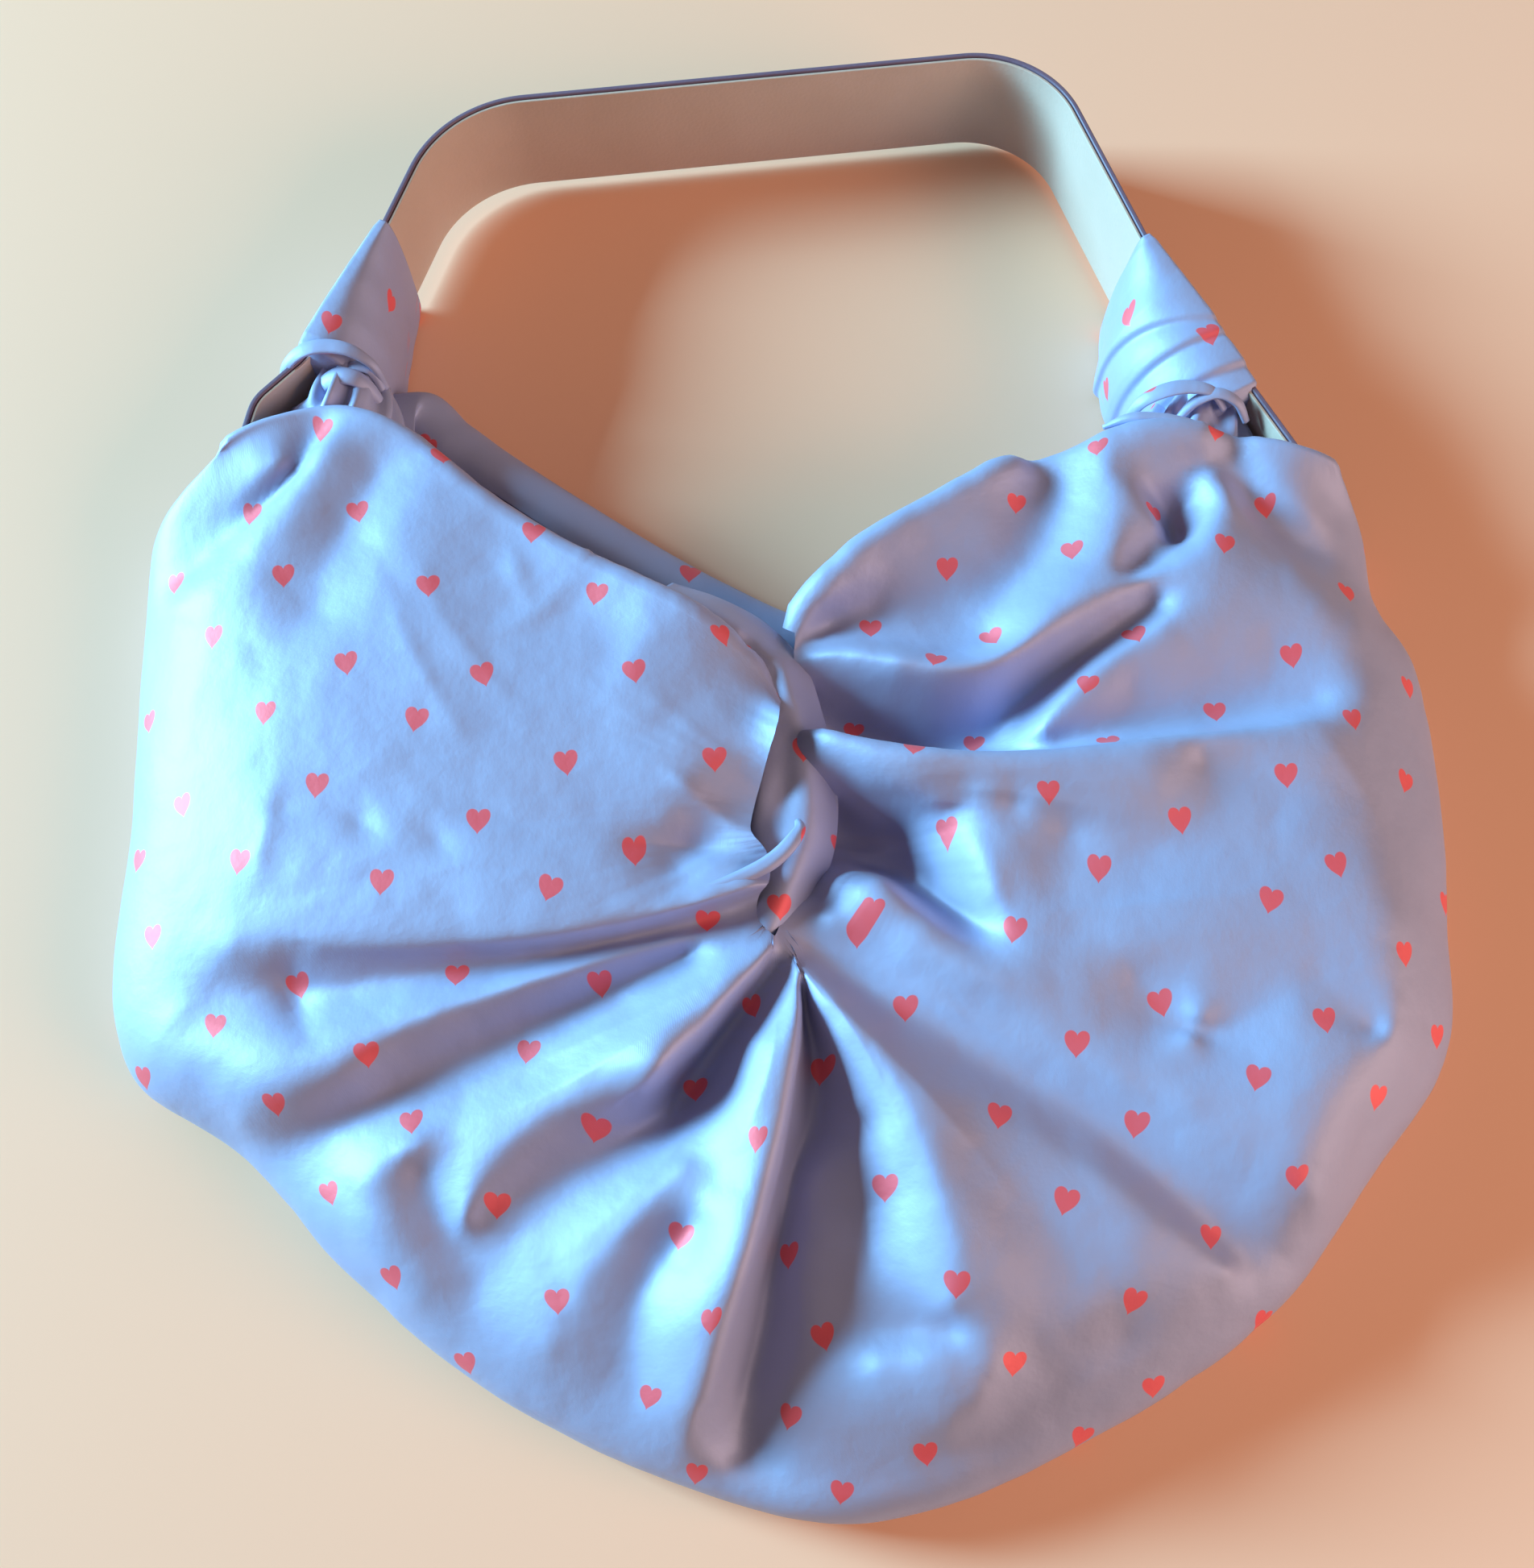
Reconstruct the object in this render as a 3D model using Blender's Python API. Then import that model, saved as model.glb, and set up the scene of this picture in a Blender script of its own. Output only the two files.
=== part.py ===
"""A furoshiki bag lying on its back: one square cloth, twisted at the middle of its front,
with its corners knotted round the two legs of a flat band handle.

+X runs to the bag's right as it is looked down on, +Y towards the handle and +Z up from
the surface that it lies on. The origin is on that surface, under the twist.
Tables and named sizes are in millimetres; MM turns them into metres.
"""

import math

import bmesh
import bpy
import numpy as np

MM = 0.001

# Cloth: the modelled thickness, and how finely its smooth form is sampled and then thinned.
CLOTH_THICK = 1.6
ACROSS_STEPS = 220
FRONT_STEPS = 80
WALL_STEPS = 8
BACK_STEPS = 24
ROLL_STEPS = 12
LIP_STEPS = 4
CLOTH_TRIANGLES_KEPT = 0.052

# How each section runs, as shares of its front: where it stops rising from the twist, where its
# inner bow is highest, and how it crowds and fades its folds towards the rim. The back's hem and
# the front's two free edges roll up; those edges roll wide by the twist and tightly at the rim.
RISE_SHARE = 0.22
INNER_PEAK = 0.3
RIM_CROWDING = 0.85
FOLD_FADE_POWER = 8
FOLD_CURVE_POINTS = 21
HEM_ROLL_DEGREES = 215
LIP_CURL_DEGREES = 150
LIP_RADIUS = 5.0
LIP_WIDE_SHARE = 0.65
SIDE_RADIUS = 1.7
SIDE_TIGHT_SHARE = 0.9

# Band handle: a strip on edge, bent to a flat-topped arch, with a thin lining inside it.
BAND_WIDTH = 40.0
BAND_LOW = 3.6
OUTER_THICK = 1.6
LINING_THICK = 1.0
LINING_INSET = 0.5
LAYER_GAP = 0.3
SLIT_WIDTH = 6.0
SLIT_FROM_FOOT = 6.0
SLIT_PAST_TOP = 5.0
CLOTH_CLEARANCE = 0.3
BAND_STEP = 4.0

# Sections of the cloth, clockwise from the right shoulder. Each runs from its root at the twist
# over a crown to the rim, the bag's widest line, then under it to the back and its rolled hem.
# tuck draws the wall in under the rim, and spreads it at the shoulders, where it is negative.
# A higher square keeps the crown's height nearer to the rim. bow_in and bow_out push the front's
# line sideways (to its left), most at INNER_PEAK and at the share of its length named peak.
SECTION_COLUMNS = ("root_x", "root_y", "root_z", "rim_x", "rim_y", "rim_z", "tuck", "crown",
                   "square", "bow_in", "bow_out", "peak", "hem_x", "hem_y", "hem_r")
SECTIONS = {
    "right shoulder": (2, 45, 33, 166, 97, 40, -5, 49, 14, 12, 20, 0.62, 137, 119, 10),
    "right shoulder fall": (3, 40, 32, 176, 88, 22, 2, 46, 7, 9, 13, 0.62, 131, 122, 10),
    "right notch": (4, 34, 31, 180, 67, 14, 7, 43, 5, 8, 6, 0.60, 124, 122, 10),
    "right flare": (5, 26, 30, 190, 46, 12, 9, 42, 5, 3, 1, 0.60, 114, 119, 10),
    "right side": (7, 10, 28, 193, 8, 12, 9, 42, 5, 0, 0, 0.60, 100, 114, 9),
    "right side low": (6, -8, 28, 190, -36, 12, 9, 42, 5, 0, 0, 0.60, 84, 107, 9),
    "right turn": (4, -20, 28, 184, -76, 12, 9, 41, 5, 0, 0, 0.60, 68, 99, 9),
    "right corner": (0, -31, 29, 161, -106, 12, 9, 40, 5, 0, 0, 0.60, 52, 90, 9),
    "crease corner": (-3, -39, 30, 133, -140, 12, 9, 38, 5, 0, 0, 0.60, 38, 82, 9),
    "lower right": (-5, -43, 30, 87, -171, 10, 9, 36, 5, 0, 0, 0.60, 22, 73, 9),
    "foot": (-7, -46, 30, 12, -196, 10, 9, 34, 5, 0, 0, 0.60, 3, 64, 9),
    "foot left": (-8, -45, 30, -42, -183, 10, 9, 34, 5, 0, 0, 0.60, -20, 75, 9),
    "lower left": (-9, -44, 30, -90, -159, 11, 9, 36, 5, 0, 0, 0.60, -40, 87, 9),
    "left corner low": (-10, -43, 31, -130, -126, 12, 9, 38, 5, 0, 0, 0.60, -58, 99, 9),
    "left notch": (-11, -38, 33, -153, -103, 12, 9, 39, 5, 0, 0, 0.60, -74, 110, 9),
    "left corner": (-12, -30, 38, -185, -83, 12, 9, 42, 5, 0, 0, 0.60, -88, 120, 9),
    "left side": (-11, -14, 43, -197, 0, 12, 9, 46, 5, 0, 0, 0.70, -104, 132, 10),
    "left side high": (-7, 4, 44, -200, 56, 13, 7, 48, 5, -6, -4, 0.75, -120, 143, 12),
    "left turn": (-5, 14, 44, -198, 82, 22, 3, 48, 7, -7, -13, 0.80, -134, 141, 12),
    "left shoulder": (-4, 22, 42, -175, 102, 43, -6, 50, 14, -10, -26, 0.82, -143, 136, 12),
}

# Main folds of the front, each a curve through three points from the twist outwards: its height
# above (or below) the smooth form at the three points, and how far it spreads to either side.
FOLD_COLUMNS = ("x0", "y0", "x1", "y1", "x2", "y2", "h0", "h1", "h2", "left", "right")
FOLDS = {
    "left lip": (3, -19, -64, -42, -162, -48, 7, 8, 3, 4, 26),
    "under left lip": (-6, -36, -64, -48, -152, -55, -4, -6, -4, 12, 4),
    "low left ridge": (-8, -43, -76, -74, -144, -100, 4, 6, 5, 6, 14),
    "low left valley": (-20, -49, -88, -85, -146, -110, -3, -5, -5, 9, 5),
    "elbow lip": (-8, -50, -38, -86, -89, -120, 5, 7, 4, 4, 11),
    "elbow valley": (-5, -60, -30, -96, -82, -127, -4, -6, -4, 8, 5),
    "broad low ridge": (-6, -61, -30, -106, -80, -147, 3, 5, 4, 12, 12),
    "soft low valley": (-25, -119, -48, -137, -67, -156, -2, -4, -3, 8, 8),
    "upright lip": (-1, -55, -10, -115, -28, -173, 5, 8, 6, 4, 12),
    "upright valley": (5, -64, 0, -119, -14, -184, -5, -8, -6, 10, 5),
    "spread ridge": (-3, -50, 28, -94, 40, -141, 4, 6, 5, 10, 9),
    "cross dip": (-3, -150, 18, -153, 39, -150, -2, -4, -2, 5, 5),
    "low bulge": (4, -170, 24, -161, 44, -158, 2, 4, 2, 8, 8),
    "long valley": (-1, -42, 58, -93, 123, -137, -4, -5, -4, 16, 8),
    "long ridge": (11, -68, 59, -112, 123, -141, 3, 5, 5, 7, 10),
    "hem valley": (9, -192, 46, -170, 96, -148, -3, -6, -4, 7, 7),
    "cavity": (8, -5, 28, -16, 50, -40, -17, -17, -4, 13, 13),
    "low right ridge": (3, -38, 25, -33, 60, -49, 4, 6, 2, 7, 9),
    "upper band": (3, 10, 49, 4, 142, 13, 6, 8, 3, 8, 7),
    "dark valley": (3, 26, 38, 20, 97, 30, -10, -13, -4, 8, 8),
    "shoulder ridge": (6, 41, 57, 38, 117, 78, 4, 7, 5, 10, 7),
    "lobe hollow": (18, 50, 51, 70, 75, 96, -2, -5, -2, 12, 10),
    "knot ridge": (88, 111, 88, 82, 65, 44, 1, 4, 2, 9, 9),
    "pouch edge": (99, 113, 106, 90, 113, 75, 1, 5, 2, 5, 8),
    "pocket": (113, 92, 117, 84, 119, 74, -3, -9, -3, 7, 6),
    "right shoulder ridge": (128, 102, 139, 78, 179, 41, 3, 6, 4, 8, 10),
    "right shoulder valley": (141, 94, 152, 80, 170, 66, -1, -5, -3, 7, 7),
    "right dimple": (90, -58, 107, -65, 124, -66, -1, -4, -1, 8, 8),
    "right rim crease": (167, -61, 159, -98, 125, -137, 2, 3, 2, 6, 6),
    "left shoulder crest": (-138, 118, -157, 90, -184, 59, 2, 5, 4, 9, 6),
    "left shoulder valley": (-150, 98, -166, 82, -186, 68, -2, -5, -4, 6, 7),
    "left dimple": (-146, -10, -134, -8, -118, -12, -1, -3, -1, 8, 8),
    "left dent": (-139, -56, -134, -65, -129, -74, -4, -5, -2, 6, 5),
}

# The band's centre line in plan, from its right end over the arch to its left end:
# the corners of its run, and the radius that rounds each.
BAND_CORNERS = (
    (152.5, 102.7, 0.0),
    (114.0, 175.5, 60.0),
    (84.0, 257.6, 34.0),
    (-114.3, 234.0, 41.0),
    (-131.0, 183.3, 60.0),
    (-151.0, 136.5, 16.0),
    (-164.5, 121.5, 12.0),
    (-167.0, 107.0, 0.0),
)

# The two knots: a straight axis down each leg, from top to foot, and sections of the cloth along
# it, first the wraps round the leg and then the neck that joins them to the bag. near and far are
# the reach across the leg, away from the arch's middle and towards it; low and high are heights.
# inward is the side of the axis that faces the arch's middle, slant is how far the wraps lean
# along the leg from their foot to their crown, and ridges is how many turns of cloth show.
KNOT_COLUMNS = ("along", "near", "far", "low", "high")
KNOTS = {
    "right": {
        "top": (111.5, 180.5),
        "foot": (142.5, 120.5),
        "inward": -1,
        "slant": 7.0,
        "ridges": 3.0,
        "ridge_height": 1.3,
        "wraps": (
            (0, 3.6, 4.5, 1.0, 46.5),
            (5, 4.4, 11.0, 0.0, 47.0),
            (18, 4.6, 19.0, 0.0, 47.5),
            (34, 4.8, 26.0, 0.0, 48.0),
            (50, 4.8, 29.0, 0.0, 47.5),
            (62, 4.6, 27.0, 0.0, 46.0),
        ),
        "neck": (
            (65, -3.8, 23.0, 2.0, 42.0),
            (80, -4.2, 17.0, 3.0, 36.0),
        ),
    },
    "left": {
        "top": (-129.5, 186.0),
        "foot": (-151.0, 136.5),
        "inward": 1,
        "slant": 6.0,
        "ridges": 1.5,
        "ridge_height": 0.8,
        "wraps": (
            (0, 3.6, 4.5, 1.0, 46.5),
            (6, 4.3, 6.5, 0.0, 47.0),
            (17, 4.4, 10.0, 0.0, 47.0),
            (30, 4.6, 15.0, 0.0, 47.5),
            (44, 4.8, 21.0, 0.0, 47.5),
            (52, 4.6, 21.0, 0.0, 46.0),
        ),
        "neck": (
            (55, -3.8, 19.0, 2.0, 42.0),
            (69, -4.2, 15.0, 3.0, 36.0),
        ),
    },
}
KNOT_WAIST = 0.3
KNOT_SHOULDER = 0.9
KNOT_CORNER = 0.35
WRAP_SLOPE = 0.6
KNOT_RING_POINTS = 22
KNOT_STEPS = 14

# The twist: a spindle of wound cloth down the middle of the front.
TWIST_COLUMNS = ("x", "y", "z", "half_wide", "half_high")
TWIST_SECTIONS = (
    (1, 52, 27, 3, 3),
    (-1, 43, 29, 8, 7),
    (-2, 28, 31, 10, 9),
    (-4, 8, 32, 12, 10),
    (-4, -12, 31, 12, 10),
    (-5, -30, 30, 9, 8),
    (-7, -45, 30, 5, 5),
    (-8, -53, 29, 2, 2),
)
TWIST_RIDGES = 3
TWIST_PITCH = 25.0
TWIST_RIDGE_HEIGHT = 1.2
TWIST_RING_POINTS = 16
TWIST_STEPS = 16


def clear_scene():
    for obj in list(bpy.data.objects):
        bpy.data.objects.remove(obj)


def material(name, colour, roughness):
    made = bpy.data.materials.new(name)
    made.use_nodes = True
    shader = made.node_tree.nodes["Principled BSDF"]
    shader.inputs["Base Color"].default_value = (*colour, 1.0)
    shader.inputs["Roughness"].default_value = roughness
    shader.inputs["Metallic"].default_value = 0.0
    return made


def add_object(name, vertices, faces, finish=None):
    """A mesh object from points in millimetres."""
    mesh = bpy.data.meshes.new(name)
    mesh.from_pydata([tuple(point) for point in np.asarray(vertices) * MM], [], faces)
    mesh.validate()
    if finish:
        mesh.materials.append(finish)
    obj = bpy.data.objects.new(name, mesh)
    bpy.context.scene.collection.objects.link(obj)
    return obj


def as_guide(obj):
    obj.hide_render = True
    obj.display_type = "WIRE"
    return obj


def close_outwards(obj):
    shell = bmesh.new()
    shell.from_mesh(obj.data)
    bmesh.ops.recalc_face_normals(shell, faces=shell.faces)
    shell.to_mesh(obj.data)
    shell.free()


def spline(table, knots, places):
    """Each column of the table, read at the places by a smooth curve through its rows."""
    table = np.asarray(table, float)
    slopes = np.gradient(table, knots, axis=0)
    row = np.clip(np.searchsorted(knots, places, side="right") - 1, 0, len(knots) - 2)
    span = (knots[row + 1] - knots[row])[:, None]
    t = (places - knots[row])[:, None] / span
    start = (1 + 2 * t) * (1 - t) ** 2 * table[row] + t * (1 - t) ** 2 * span * slopes[row]
    end = t * t * (3 - 2 * t) * table[row + 1] + t * t * (t - 1) * span * slopes[row + 1]
    return start + end


def along(points):
    """Distance travelled at each point of a line."""
    steps = np.linalg.norm(np.diff(points, axis=0), axis=1)
    return np.concatenate(([0.0], np.cumsum(steps)))


def unit(vectors):
    return vectors / np.maximum(np.linalg.norm(vectors, axis=-1, keepdims=True), 1e-9)


def left_of(directions):
    return np.stack([-directions[..., 1], directions[..., 0]], axis=-1)


def grid_faces(rows, columns, ring=False):
    """Quads of a grid of rows by columns; a ring joins the last column to the first."""
    reach = columns if ring else columns - 1
    faces = []
    for i in range(rows - 1):
        for j in range(reach):
            k = (j + 1) % columns
            faces.append((i * columns + j, i * columns + k, (i + 1) * columns + k, (i + 1) * columns + j))
    return faces


def fold_lift(points, fold):
    """The height that one fold adds at plan points: full on its curve, fading to either side."""
    f = dict(zip(FOLD_COLUMNS, fold))
    ends = np.array([(f["x0"], f["y0"]), (f["x2"], f["y2"])], float)
    middle = np.array((f["x1"], f["y1"]), float)
    pull = 2 * middle - ends.mean(axis=0)
    t = np.linspace(0, 1, FOLD_CURVE_POINTS)[:, None]
    curve = (1 - t) ** 2 * ends[0] + 2 * t * (1 - t) * pull + t * t * ends[1]
    nearest = np.full(len(points), np.inf)
    side = np.zeros(len(points))
    place = np.zeros(len(points))
    for i in range(len(curve) - 1):
        run = curve[i + 1] - curve[i]
        from_start = points - curve[i]
        share = np.clip(from_start @ run / (run @ run), 0, 1)
        away = from_start - share[:, None] * run
        distance = np.linalg.norm(away, axis=1)
        closer = distance < nearest
        nearest[closer] = distance[closer]
        side[closer] = (run[0] * away[:, 1] - run[1] * away[:, 0])[closer]
        place[closer] = (i + share[closer]) / (len(curve) - 1)
    heights = np.interp(place, (0, 0.5, 1), (f["h0"], f["h1"], f["h2"]))
    spread = np.where(side > 0, f["left"], f["right"])
    return heights * np.exp(-((nearest / spread) ** 2))


def swell(share, peak):
    """A smooth hump over 0 to 1 that is highest, 1, at the peak."""
    return np.sin(math.pi * share ** (math.log(0.5) / np.log(peak)))


def cloth_form():
    """The smooth, folded sheet as a grid of points: sections across, root to hem along each."""
    table = np.array(list(SECTIONS.values()), float)
    column = {name: i for i, name in enumerate(SECTION_COLUMNS)}
    rim_line = table[:, [column["rim_x"], column["rim_y"]]]
    knots = along(rim_line)
    places = np.linspace(0, knots[-1], ACROSS_STEPS)
    s = spline(table, knots, places)
    value = {name: s[:, i] for i, name in enumerate(SECTION_COLUMNS)}
    root = np.stack([value["root_x"], value["root_y"]], axis=-1)
    rim = np.stack([value["rim_x"], value["rim_y"]], axis=-1)
    hem = np.stack([value["hem_x"], value["hem_y"]], axis=-1)
    rim_out = left_of(unit(np.gradient(rim, axis=0)))
    hem_out = -left_of(unit(np.gradient(hem, axis=0)))
    sideways = left_of(unit(rim - root))

    rows = []
    for t in np.linspace(0, 1, FRONT_STEPS) ** RIM_CROWDING:
        bow = value["bow_in"] * swell(t, INNER_PEAK) + value["bow_out"] * swell(t, value["peak"])
        plan = root + (rim - root) * t + sideways * bow[:, None]
        rise = np.clip(t / RISE_SHARE, 0, 1)
        rise = rise * rise * (3 - 2 * rise)
        crown = value["root_z"] + (value["crown"] - value["root_z"]) * rise
        height = value["rim_z"] + (crown - value["rim_z"]) * np.sqrt(1 - t ** value["square"])
        for fold in FOLDS.values():
            height = height + fold_lift(plan, fold) * (1 - t ** FOLD_FADE_POWER)
        rows.append(np.column_stack([plan, height]))

    for step in range(1, WALL_STEPS + 1):
        turn = 0.5 * math.pi * step / WALL_STEPS
        plan = rim - rim_out * (value["tuck"] * (1 - math.cos(turn)))[:, None]
        rows.append(np.column_stack([plan, value["rim_z"] * (1 - math.sin(turn))]))

    foot = rim - rim_out * value["tuck"][:, None]
    edge = hem - hem_out * value["hem_r"][:, None]
    for step in range(1, BACK_STEPS + 1):
        plan = foot + (edge - foot) * (step / BACK_STEPS)
        rows.append(np.column_stack([plan, np.zeros(len(plan))]))
    for step in range(1, ROLL_STEPS + 1):
        turn = math.radians(HEM_ROLL_DEGREES) * step / ROLL_STEPS
        plan = edge + hem_out * (value["hem_r"] * math.sin(turn))[:, None]
        rows.append(np.column_stack([plan, value["hem_r"] * (1 - math.cos(turn))]))
    return np.stack(rows, axis=1)


def with_rolled_lips(form):
    """The grid with a few rows added past its first and last sections, which curl inwards."""
    place = np.arange(form.shape[1])
    share = place / FRONT_STEPS
    on_back = (place > FRONT_STEPS + 0.5 * WALL_STEPS)[:, None]
    wide = np.clip((SIDE_TIGHT_SHARE - share) / (SIDE_TIGHT_SHARE - LIP_WIDE_SHARE), 0, 1)[:, None]
    radius = SIDE_RADIUS + (LIP_RADIUS - SIDE_RADIUS) * wide
    turns = np.radians(LIP_CURL_DEGREES) * np.arange(1, LIP_STEPS + 1) / LIP_STEPS
    curls = []
    for edge, beside, hand in ((form[0], form[1], 1), (form[-1], form[-2], -1)):
        down = unit(np.gradient(edge, axis=0))
        out = edge - beside
        out = unit(out - (out * down).sum(-1, keepdims=True) * down)
        inwards = np.where(on_back, (0.0, 0.0, 1.0), hand * np.cross(out, down))
        curls.append([edge + radius * (math.sin(a) * out + (1 - math.cos(a)) * inwards) for a in turns])
    return np.stack([*curls[0][::-1], *form, *curls[1]], axis=0)


def bag_sheet(finish):
    """The cloth as a sheet without thickness, its faces turned outwards."""
    form = with_rolled_lips(cloth_form())
    across, down = form.shape[:2]
    faces = [face[::-1] for face in grid_faces(across, down)]
    return add_object("cloth", form.reshape(-1, 3), faces, finish)


def loft(name, rings):
    """A closed body through rings of points, each ring the same length, with fanned ends."""
    rings = np.asarray(rings)
    count, around = rings.shape[:2]
    faces = grid_faces(count, around, ring=True)
    points = [*rings.reshape(-1, 3), rings[0].mean(axis=0), rings[-1].mean(axis=0)]
    first, last = count * around, count * around + 1
    for j in range(around):
        k = (j + 1) % around
        faces.append((first, k, j))
        faces.append((last, (count - 1) * around + j, (count - 1) * around + k))
    body = add_object(name, points, faces)
    close_outwards(body)
    return as_guide(body)


def knot_body(side):
    """One knot: cloth wrapped round a leg of the band, high over the band and sloping inwards."""
    knot = KNOTS[side]
    top, foot = np.array(knot["top"]), np.array(knot["foot"])
    axis = unit(foot - top)
    inward = left_of(axis) * knot["inward"]
    columns = dict(zip(KNOT_COLUMNS, np.array(knot["wraps"] + knot["neck"], float).T))
    stops = columns["along"]
    wrapped = knot["wraps"][-1][0]
    rings = []
    for s in np.unique(np.concatenate((stops, np.linspace(0, stops[-1], KNOT_STEPS)))):
        near, far, low, high = (np.interp(s, stops, columns[name]) for name in KNOT_COLUMNS[1:])
        waist = low + KNOT_WAIST * (high - low)
        ring = []
        for j in range(KNOT_RING_POINTS):
            turn = 2 * math.pi * j / KNOT_RING_POINTS
            c, d = math.cos(turn), math.sin(turn)
            power = KNOT_SHOULDER if c > 0 and d > 0 else KNOT_CORNER
            reach_across = (far if c > 0 else near) * math.copysign(abs(c) ** power, c)
            reach_up = (high - waist if d > 0 else waist - low) * math.copysign(abs(d) ** power, d)
            wrap = abs(math.sin(math.pi * (knot["ridges"] * s / wrapped + WRAP_SLOPE * d)))
            ridge = knot["ridge_height"] * wrap if c > 0 and s <= wrapped else 0.0
            offset = reach_across + ridge * c
            z = max(waist + reach_up + ridge * max(d, 0.0), low)
            shear = knot["slant"] * (z / high - 0.5)
            ring.append((*(top + axis * (s + shear) + inward * offset), z))
        rings.append(ring)
    return loft("knot_" + side, rings)


def twist_body():
    """The wound cloth at the middle of the front, its ridges running round it like a rope's."""
    table = np.array(TWIST_SECTIONS, float)
    knots = along(table[:, :2])
    rings = []
    for s in np.linspace(0, knots[-1], TWIST_STEPS):
        at = dict(zip(TWIST_COLUMNS, spline(table, knots, np.array([s]))[0]))
        ring = []
        for j in range(TWIST_RING_POINTS):
            turn = 2 * math.pi * j / TWIST_RING_POINTS
            ridge = TWIST_RIDGE_HEIGHT * math.cos(TWIST_RIDGES * turn + 2 * math.pi * s / TWIST_PITCH)
            x = at["x"] + (at["half_wide"] + ridge) * math.cos(turn)
            z = at["z"] + (at["half_high"] + ridge) * math.sin(turn)
            ring.append((x, at["y"], z))
        rings.append(ring)
    return loft("twist", rings)


def rounded_run(corners):
    """The points of a run in plan, its corners rounded by arcs, about BAND_STEP apart."""
    points = [np.array(corners[0][:2])]
    for before, corner, after in zip(corners, corners[1:], corners[2:]):
        at = np.array(corner[:2])
        back = unit(np.array(before[:2]) - at)
        ahead = unit(np.array(after[:2]) - at)
        half = 0.5 * math.acos(float(np.clip(back @ ahead, -1, 1)))
        middle = at + unit(back + ahead) * corner[2] / math.sin(half)
        start = at + back * corner[2] / math.tan(half)
        end = at + ahead * corner[2] / math.tan(half)
        first = math.atan2(*(start - middle)[::-1])
        sweep = math.atan2(*(end - middle)[::-1]) - first
        sweep = (sweep + math.pi) % (2 * math.pi) - math.pi
        steps = max(2, round(corner[2] * abs(sweep) / BAND_STEP))
        for i in range(steps + 1):
            turn = first + sweep * i / steps
            points.append(middle + corner[2] * np.array((math.cos(turn), math.sin(turn))))
    points.append(np.array(corners[-1][:2]))
    return np.array(points)


def resampled(points, marks):
    """A run cut into even steps that also stops at the marked distances."""
    travelled = along(points)
    stops = [0.0, *marks, travelled[-1]]
    places = []
    for a, b in zip(stops, stops[1:]):
        places.extend(np.linspace(a, b, max(2, round((b - a) / BAND_STEP)) + 1)[:-1])
    places.append(travelled[-1])
    places = np.array(places)
    plan = np.column_stack([np.interp(places, travelled, points[:, i]) for i in (0, 1)])
    return places, plan


def slit_spans(run):
    """Where the lengthwise slits lie along the band: at each knot, and a little past its top."""
    places, plan = resampled(run, ())
    spans = []
    for knot in KNOTS.values():
        foot, top = (places[np.linalg.norm(plan - knot[end], axis=1).argmin()] for end in ("foot", "top"))
        ahead = math.copysign(1.0, top - foot)
        spans.append(sorted((foot + ahead * SLIT_FROM_FOOT, top + ahead * SLIT_PAST_TOP)))
    return spans


def strip(name, offsets, edges, slit_inset=0.0, finish=None):
    """A layer of the band between two offsets from its centre line and between two heights,
    its slits cut out. slit_inset draws each slit in on all sides."""
    run = rounded_run(BAND_CORNERS)
    spans = [(a + slit_inset, b - slit_inset) for a, b in slit_spans(run)]
    places, plan = resampled(run, [mark for span in spans for mark in span])
    outward = -left_of(unit(np.gradient(plan, axis=0)))
    middle = 0.5 * sum(edges)
    half_slit = 0.5 * SLIT_WIDTH - slit_inset
    heights = (edges[0], middle - half_slit, middle + half_slit, edges[1])
    vertices, faces = [], []
    for offset in offsets:
        for point in plan + outward * offset:
            vertices.extend((*point, z) for z in heights)
    layer = len(plan) * 4

    def solid_cell(i, k):
        if not (0 <= i < len(plan) - 1 and 0 <= k < 3):
            return False
        halfway = 0.5 * (places[i] + places[i + 1])
        return k != 1 or not any(a < halfway < b for a, b in spans)

    for i in range(len(plan) - 1):
        for k in range(3):
            if not solid_cell(i, k):
                continue
            a, b, c, d = i * 4 + k, (i + 1) * 4 + k, (i + 1) * 4 + k + 1, i * 4 + k + 1
            faces.append((a, b, c, d))
            faces.append((a + layer, d + layer, c + layer, b + layer))
            for (p, q), beside in (((b, a), (i, k - 1)), ((d, c), (i, k + 1)),
                                   ((a, d), (i - 1, k)), ((c, b), (i + 1, k))):
                if not solid_cell(*beside):
                    faces.append((p, q, q + layer, p + layer))
    body = add_object(name, vertices, faces, finish)
    close_outwards(body)
    return body


def band_layers():
    """The band's two layers, and the room that the knots leave for them."""
    top = BAND_LOW + BAND_WIDTH
    gap = 0.5 * LAYER_GAP
    clear = CLOTH_CLEARANCE
    leather = material("band leather", (0.20, 0.15, 0.22), 0.45)
    lining = material("lining leather", (0.42, 0.36, 0.34), 0.5)
    strip("band_outer", (gap, gap + OUTER_THICK), (BAND_LOW, top), finish=leather)
    strip("band_lining", (-gap - LINING_THICK, -gap), (BAND_LOW + LINING_INSET, top - LINING_INSET),
          finish=lining)
    room = strip("band_room", (-gap - LINING_THICK - clear, gap + OUTER_THICK + clear),
                 (BAND_LOW - clear, top + clear), slit_inset=clear)
    return as_guide(room)


def boolean(obj, operation, other, solver="EXACT"):
    made = obj.modifiers.new(other.name, "BOOLEAN")
    made.operation = operation
    made.object = other
    made.solver = solver


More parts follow.
